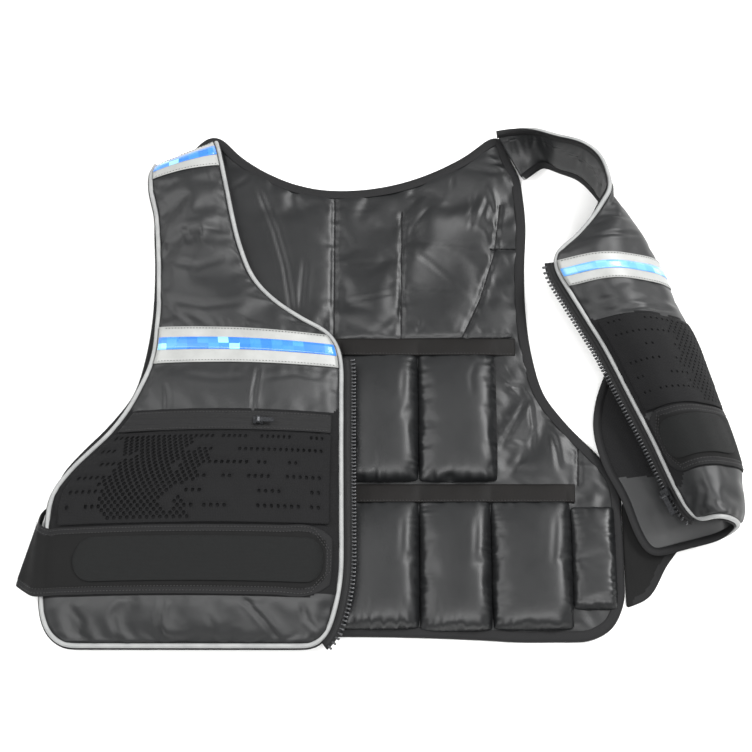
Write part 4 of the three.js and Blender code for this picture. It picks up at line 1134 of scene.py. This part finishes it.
knittedPiece("right_knit_pocket", "right_mesh_pocket", "x+", rightInside, 0.9, 0.55, 0.86)
knittedPiece("left_knit_pocket", "left_mesh_pocket", "z+", leftMiddle, 0.7, 0.3, 0.55)
print("mesh pockets made")


# Waist straps: loop cloth with a bound border, and a hook pad sewn on it
strapLook = {"cell": 3 * mm, "thick": 2.0 * mm, "border": 7.5 * mm, "raise": 0.45 * mm}


def strapPiece(name, nodeName, start, sharp, inside):
    surface = topOf(nodeName, start, sharp)
    # columns run along the strap from its tip
    if surface["up"][-1] > surface["across"][-1]:
        surface = surfaceOf(surface["points"].transpose(1, 0, 2)[:, ::-1])
    facing = facingOf(surface, inside)
    rows, columns = [round(surface[key][-1] / strapLook["cell"]) for key in ("up", "across")]
    lifts = (-0.1 * mm, -strapLook["thick"])
    piece = slabOn(name, surface, facing, lifts, rows, columns, [loopStrap, bindingTape], 0.5 * mm, 1)
    subdivided(piece)
    mesh = piece.data
    points, normals, upper = partsOf(mesh)
    rim = points[(upper > 0.1) & (upper < 0.9) & (shares(mesh, "across") < 0.97)]
    gap = nearestGap(points, rim)
    rise = np.clip((strapLook["border"] - gap) / (0.8 * mm), 0, 1) * (upper > 0.6) * strapLook["raise"]
    putCoords(mesh, points + normals * rise[:, None])
    bound = gap < strapLook["border"]
    for face in mesh.polygons:
        if all(bound[k] for k in face.vertices):
            face.material_index = 1
    dressed(piece, "strap", nodeName)
    return surface, facing


rightStrap, rightStrapFacing = strapPiece("right_waist_strap", "right_strap", "x+", 65, rightInside)
leftStrapMiddle = (sum(corner[0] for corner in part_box("left_strap")) / 2, -0.12, 0.03)
leftStrap, leftStrapFacing = strapPiece("left_waist_strap", "left_strap", "z+", 45, leftStrapMiddle)


# Hook pads with rounded ends, whose columns crowd towards the ends
padLook = {"cell": 2.5 * mm, "rows": 16, "lifts": (0.1 * mm, -1.0 * mm), "tip": 0.06, "straight": (0.25, 0.75)}


def padPiece(name, nodeName, start, inside):
    surface = topOf(nodeName, start)
    facing = facingOf(surface, inside)
    low, high = gridAt(surface, [0, 1], [0.5])[:, 0]
    half, long = np.linalg.norm(high - low) / 2, surface["across"][-1]
    columns, rows = round(long / padLook["cell"]), padLook["rows"]
    acrosses = (1 - np.cos(np.linspace(0, math.pi, columns + 1))) / 2
    end = np.clip(np.minimum(acrosses, 1 - acrosses) * long / half, 0, 1)
    wide = half * np.maximum(np.sqrt(1 - (1 - end) ** 2), padLook["tip"])
    middle = gridAt(surface, [0.5], acrosses)[0]
    sides = gridAt(surface, [0, 1], np.clip(acrosses, *padLook["straight"]))
    upward = unit(sides[1] - sides[0])
    normal = unit(np.cross(upward, np.gradient(middle, axis=0)) * facing)
    across = np.linspace(-1, 1, rows + 1)[:, None, None] * (upward * wide[:, None])
    top, under = [middle + normal * lift + across for lift in padLook["lifts"]]
    piece = slabPiece(name, top, under, hookPad, 0.3 * mm, 1)
    dressed(subdivided(piece), "hook_pad", nodeName)


padPiece("right_hook_pad", "right_strap_pad", "x+", rightInside)
padPiece("left_hook_pad", "left_strap_pad", "z+", leftStrapMiddle)


def strapStitches(name, surface, facing, end):
    wide = surface["up"][-1]
    lines = []
    for inset in (2.4 * mm, 6.2 * mm):
        low, start = inset / wide, inset / surface["across"][-1]
        lines.append(lineAlong(surface, facing, 0.75, [
            (low, end), (low, end * 0.6), (low, end * 0.3), (low, 0.06), (0.3, start), (0.5, start),
            (0.7, start), (1 - low, 0.06), (1 - low, end * 0.3), (1 - low, end * 0.6), (1 - low, end)], 220))
    stitched(name, lines, slotName="strap")


strapStitches("right_strap_stitches", rightStrap, rightStrapFacing, 0.97)
strapStitches("left_strap_stitches", leftStrap, leftStrapFacing, 0.62)
print("straps made")

# Zip of the right mesh pocket: a welt with the coil along its middle
zipTop = topOf("right_pocket_zip", "x+")
# each ridge is its share of the way up, its width as a share, and its height in mm
weltLook = {"cell": 3 * mm, "lifts": (0.1 * mm, -1.2 * mm), "ridges": (
    (0.22, 0.05, 0.7), (0.8, 0.06, 0.8), (0.5, 0.07, 0.6), (0.64, 0.04, -0.5), (0.36, 0.04, -0.5))}
columns = round(zipTop["across"][-1] / weltLook["cell"])
welt = slabOn("right_pocket_welt", zipTop, 1, weltLook["lifts"], 12, columns, zipCloth, 0.3 * mm, 0)
points, up = coordsOf(welt.data), shares(welt.data, "up")
ridge = sum(height * np.exp(-((up - at) / width) ** 2) for at, width, height in weltLook["ridges"])
points[:, 2] += ridge * mm * (shares(welt.data, "upper") > 0.5)
putCoords(welt.data, points)
dressed(subdivided(welt), "zip", "right_pocket_zip")
stitched("right_pocket_stitches", stitchLines(zipTop, 1, 0.5, (0.1, 0.9)), slotName="zip")

# Elastic bands over the pockets' mouths, ribbed, and drawn down between the pockets
bandLook = {
    "cell": 2.4 * mm, "rise": 6.4 * mm, "start": 1.6 * mm, "rib": 0.15 * mm, "ribs": 1.4 * mm, "over": 2.2 * mm,
    "upper_pocket": 19 * mm, "lower_pocket": 5 * mm,
}
for covered in ("upper_pocket", "lower_pocket"):
    name = f"{covered}_band"
    low, high = [Vector(corner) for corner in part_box(name)]
    high.x, high.y = high.x + bandLook[covered], high.y + bandLook["over"]
    columns, rows = round((high[0] - low[0]) / bandLook["cell"]), 12
    x, y = np.meshgrid(np.linspace(low[0], high[0], columns + 1), np.linspace(low[1], high[1], rows + 1))
    up = (y - low[1]) / (high[1] - low[1])
    mouth = np.zeros_like(x)
    for pocket in pocketNames:
        if covered in pocket and "side" not in pocket:
            left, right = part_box(pocket)[0][0] - 1.5 * mm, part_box(pocket)[1][0] + 1.5 * mm
            mouth = np.maximum(mouth, np.sin(math.pi * np.clip((x - left) / (right - left), 0, 1)) ** 0.35)
    waves = np.array([[noise.noise(Vector((p * 90, q * 25, 1))) for p, q in zip(*row)] for row in zip(x, y)])
    z = low[2] + bandLook["start"] + bandLook["rise"] * mouth * (1 - up) ** 0.8
    z += 0.5 * waves * mm + bandLook["rib"] * np.sin(y / bandLook["ribs"] * 2 * math.pi)
    top = np.stack([x, y - 1.5 * mm * (1 - up) * mouth, z], axis=-1)
    under = np.stack([x, y, np.full_like(x, low[2])], axis=-1)
    piece = slabPiece(name.replace("pocket_band", "elastic"), top, under, bandCloth, 0.3 * mm, 0)
    dressed(piece, "binding", name)
    line = top[1] + [0, 0, 0.2 * mm], np.tile([0.0, 0.0, 1.0], (columns + 1, 1))
    stitched(name.replace("pocket_band", "elastic_stitches"), [line], slotName="binding")


# The knit under the mesh pockets runs on to the edges of the fronts, and the folded left front takes the
# dark knit material underneath, between two heights above its hem. Heights are y in metres.
knitReach = {"beside": 16 * mm, "over": 1.5 * mm, "level": 0.75}


def knitUnder(piece, nodes, upward, lowest, highest, underneath=(0, 0)):
    piece.data.materials.append(knitMesh)
    tree = treeOf(*[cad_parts[name] for name in nodes])
    upper, upward = shares(piece.data, "upper"), Vector(upward).normalized()
    for face in piece.data.polygons:
        centre = face.center
        if upper[face.vertices[0]] > 0.5:
            near, _, _, gap = tree.find_nearest(centre, knitReach["beside"])
            if near is None:
                continue
            sideways = centre.y > lowest and abs((near - centre).dot(upward)) < knitReach["level"] * gap
            if gap < knitReach["over"] or lowest < centre.y < highest or sideways:
                face.material_index = 1
        # the underside between the two heights is drawn in the dark knit material
        elif underneath[0] < centre.y < underneath[1]:
            face.material_index = 1


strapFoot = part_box("right_strap_pad")[0][1] - 10 * mm
knitUnder(rightFront, ["right_mesh_pocket", "right_pocket_zip", "right_strap"], (0, 1, 0),
          strapFoot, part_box("right_pocket_zip")[0][1])
knitUnder(leftFront, ["left_mesh_pocket", "left_strap"], (-0.46, 0.88, 0), -0.3, -0.3, (-0.1, 0.09))

# Sliders and pulls
for name in ("main_zip_slider", "pocket_zip_slider", "main_zip_pull", "pocket_zip_pull"):
    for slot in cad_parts[name].material_slots:
        slot.material = zinc

dressed(back, "lining", "back_panel")
dressed(rightFront, "satin", "right_front_panel")
dressed(leftFront, "satin", "left_front_panel")
for name, piece in pockets.items():
    dressed(piece, "lining", name)

# Floor, light and finish
floorMesh = bmesh.new()
bmesh.ops.create_grid(floorMesh, x_segments=1, y_segments=1, size=3)
floorMaterial = bpy.data.materials.new("paper")
floorMaterial.use_nodes = True
floorShader = floorMaterial.node_tree.nodes["Principled BSDF"]
floorShader.inputs["Base Color"].default_value = linear("#f4f4f3")
floorShader.inputs["Roughness"].default_value = 0.9
floor = newObject("floor", floorMesh, floorMaterial)


# A light that faces the middle of the vest
def areaLight(name, place, size, power):
    data = bpy.data.lights.new(name, "AREA")
    data.shape = "RECTANGLE"
    data.size, data.size_y = size
    data.energy = power
    light = linked(name, data)
    light.location = place
    light.rotation_euler = (-Vector(place)).to_track_quat("-Z", "Y").to_euler()


# place in metres, width and height, and power in watts
areaLight("key", (1.5, 0.9, 1.9), (1.3, 1.0), 78)
areaLight("fill", (-1.6, 0.3, 1.8), (1.6, 1.6), 38)
areaLight("front", (0.1, -1.1, 2.2), (2.2, 1.0), 50)
world = bpy.data.worlds.new("studio")
world.use_nodes = True
sky = world.node_tree.nodes["Background"].inputs
sky["Color"].default_value = (1, 1, 1, 1)
sky["Strength"].default_value = 0.6
bpy.context.scene.world = world
bpy.context.scene.view_settings.view_transform = "Standard"
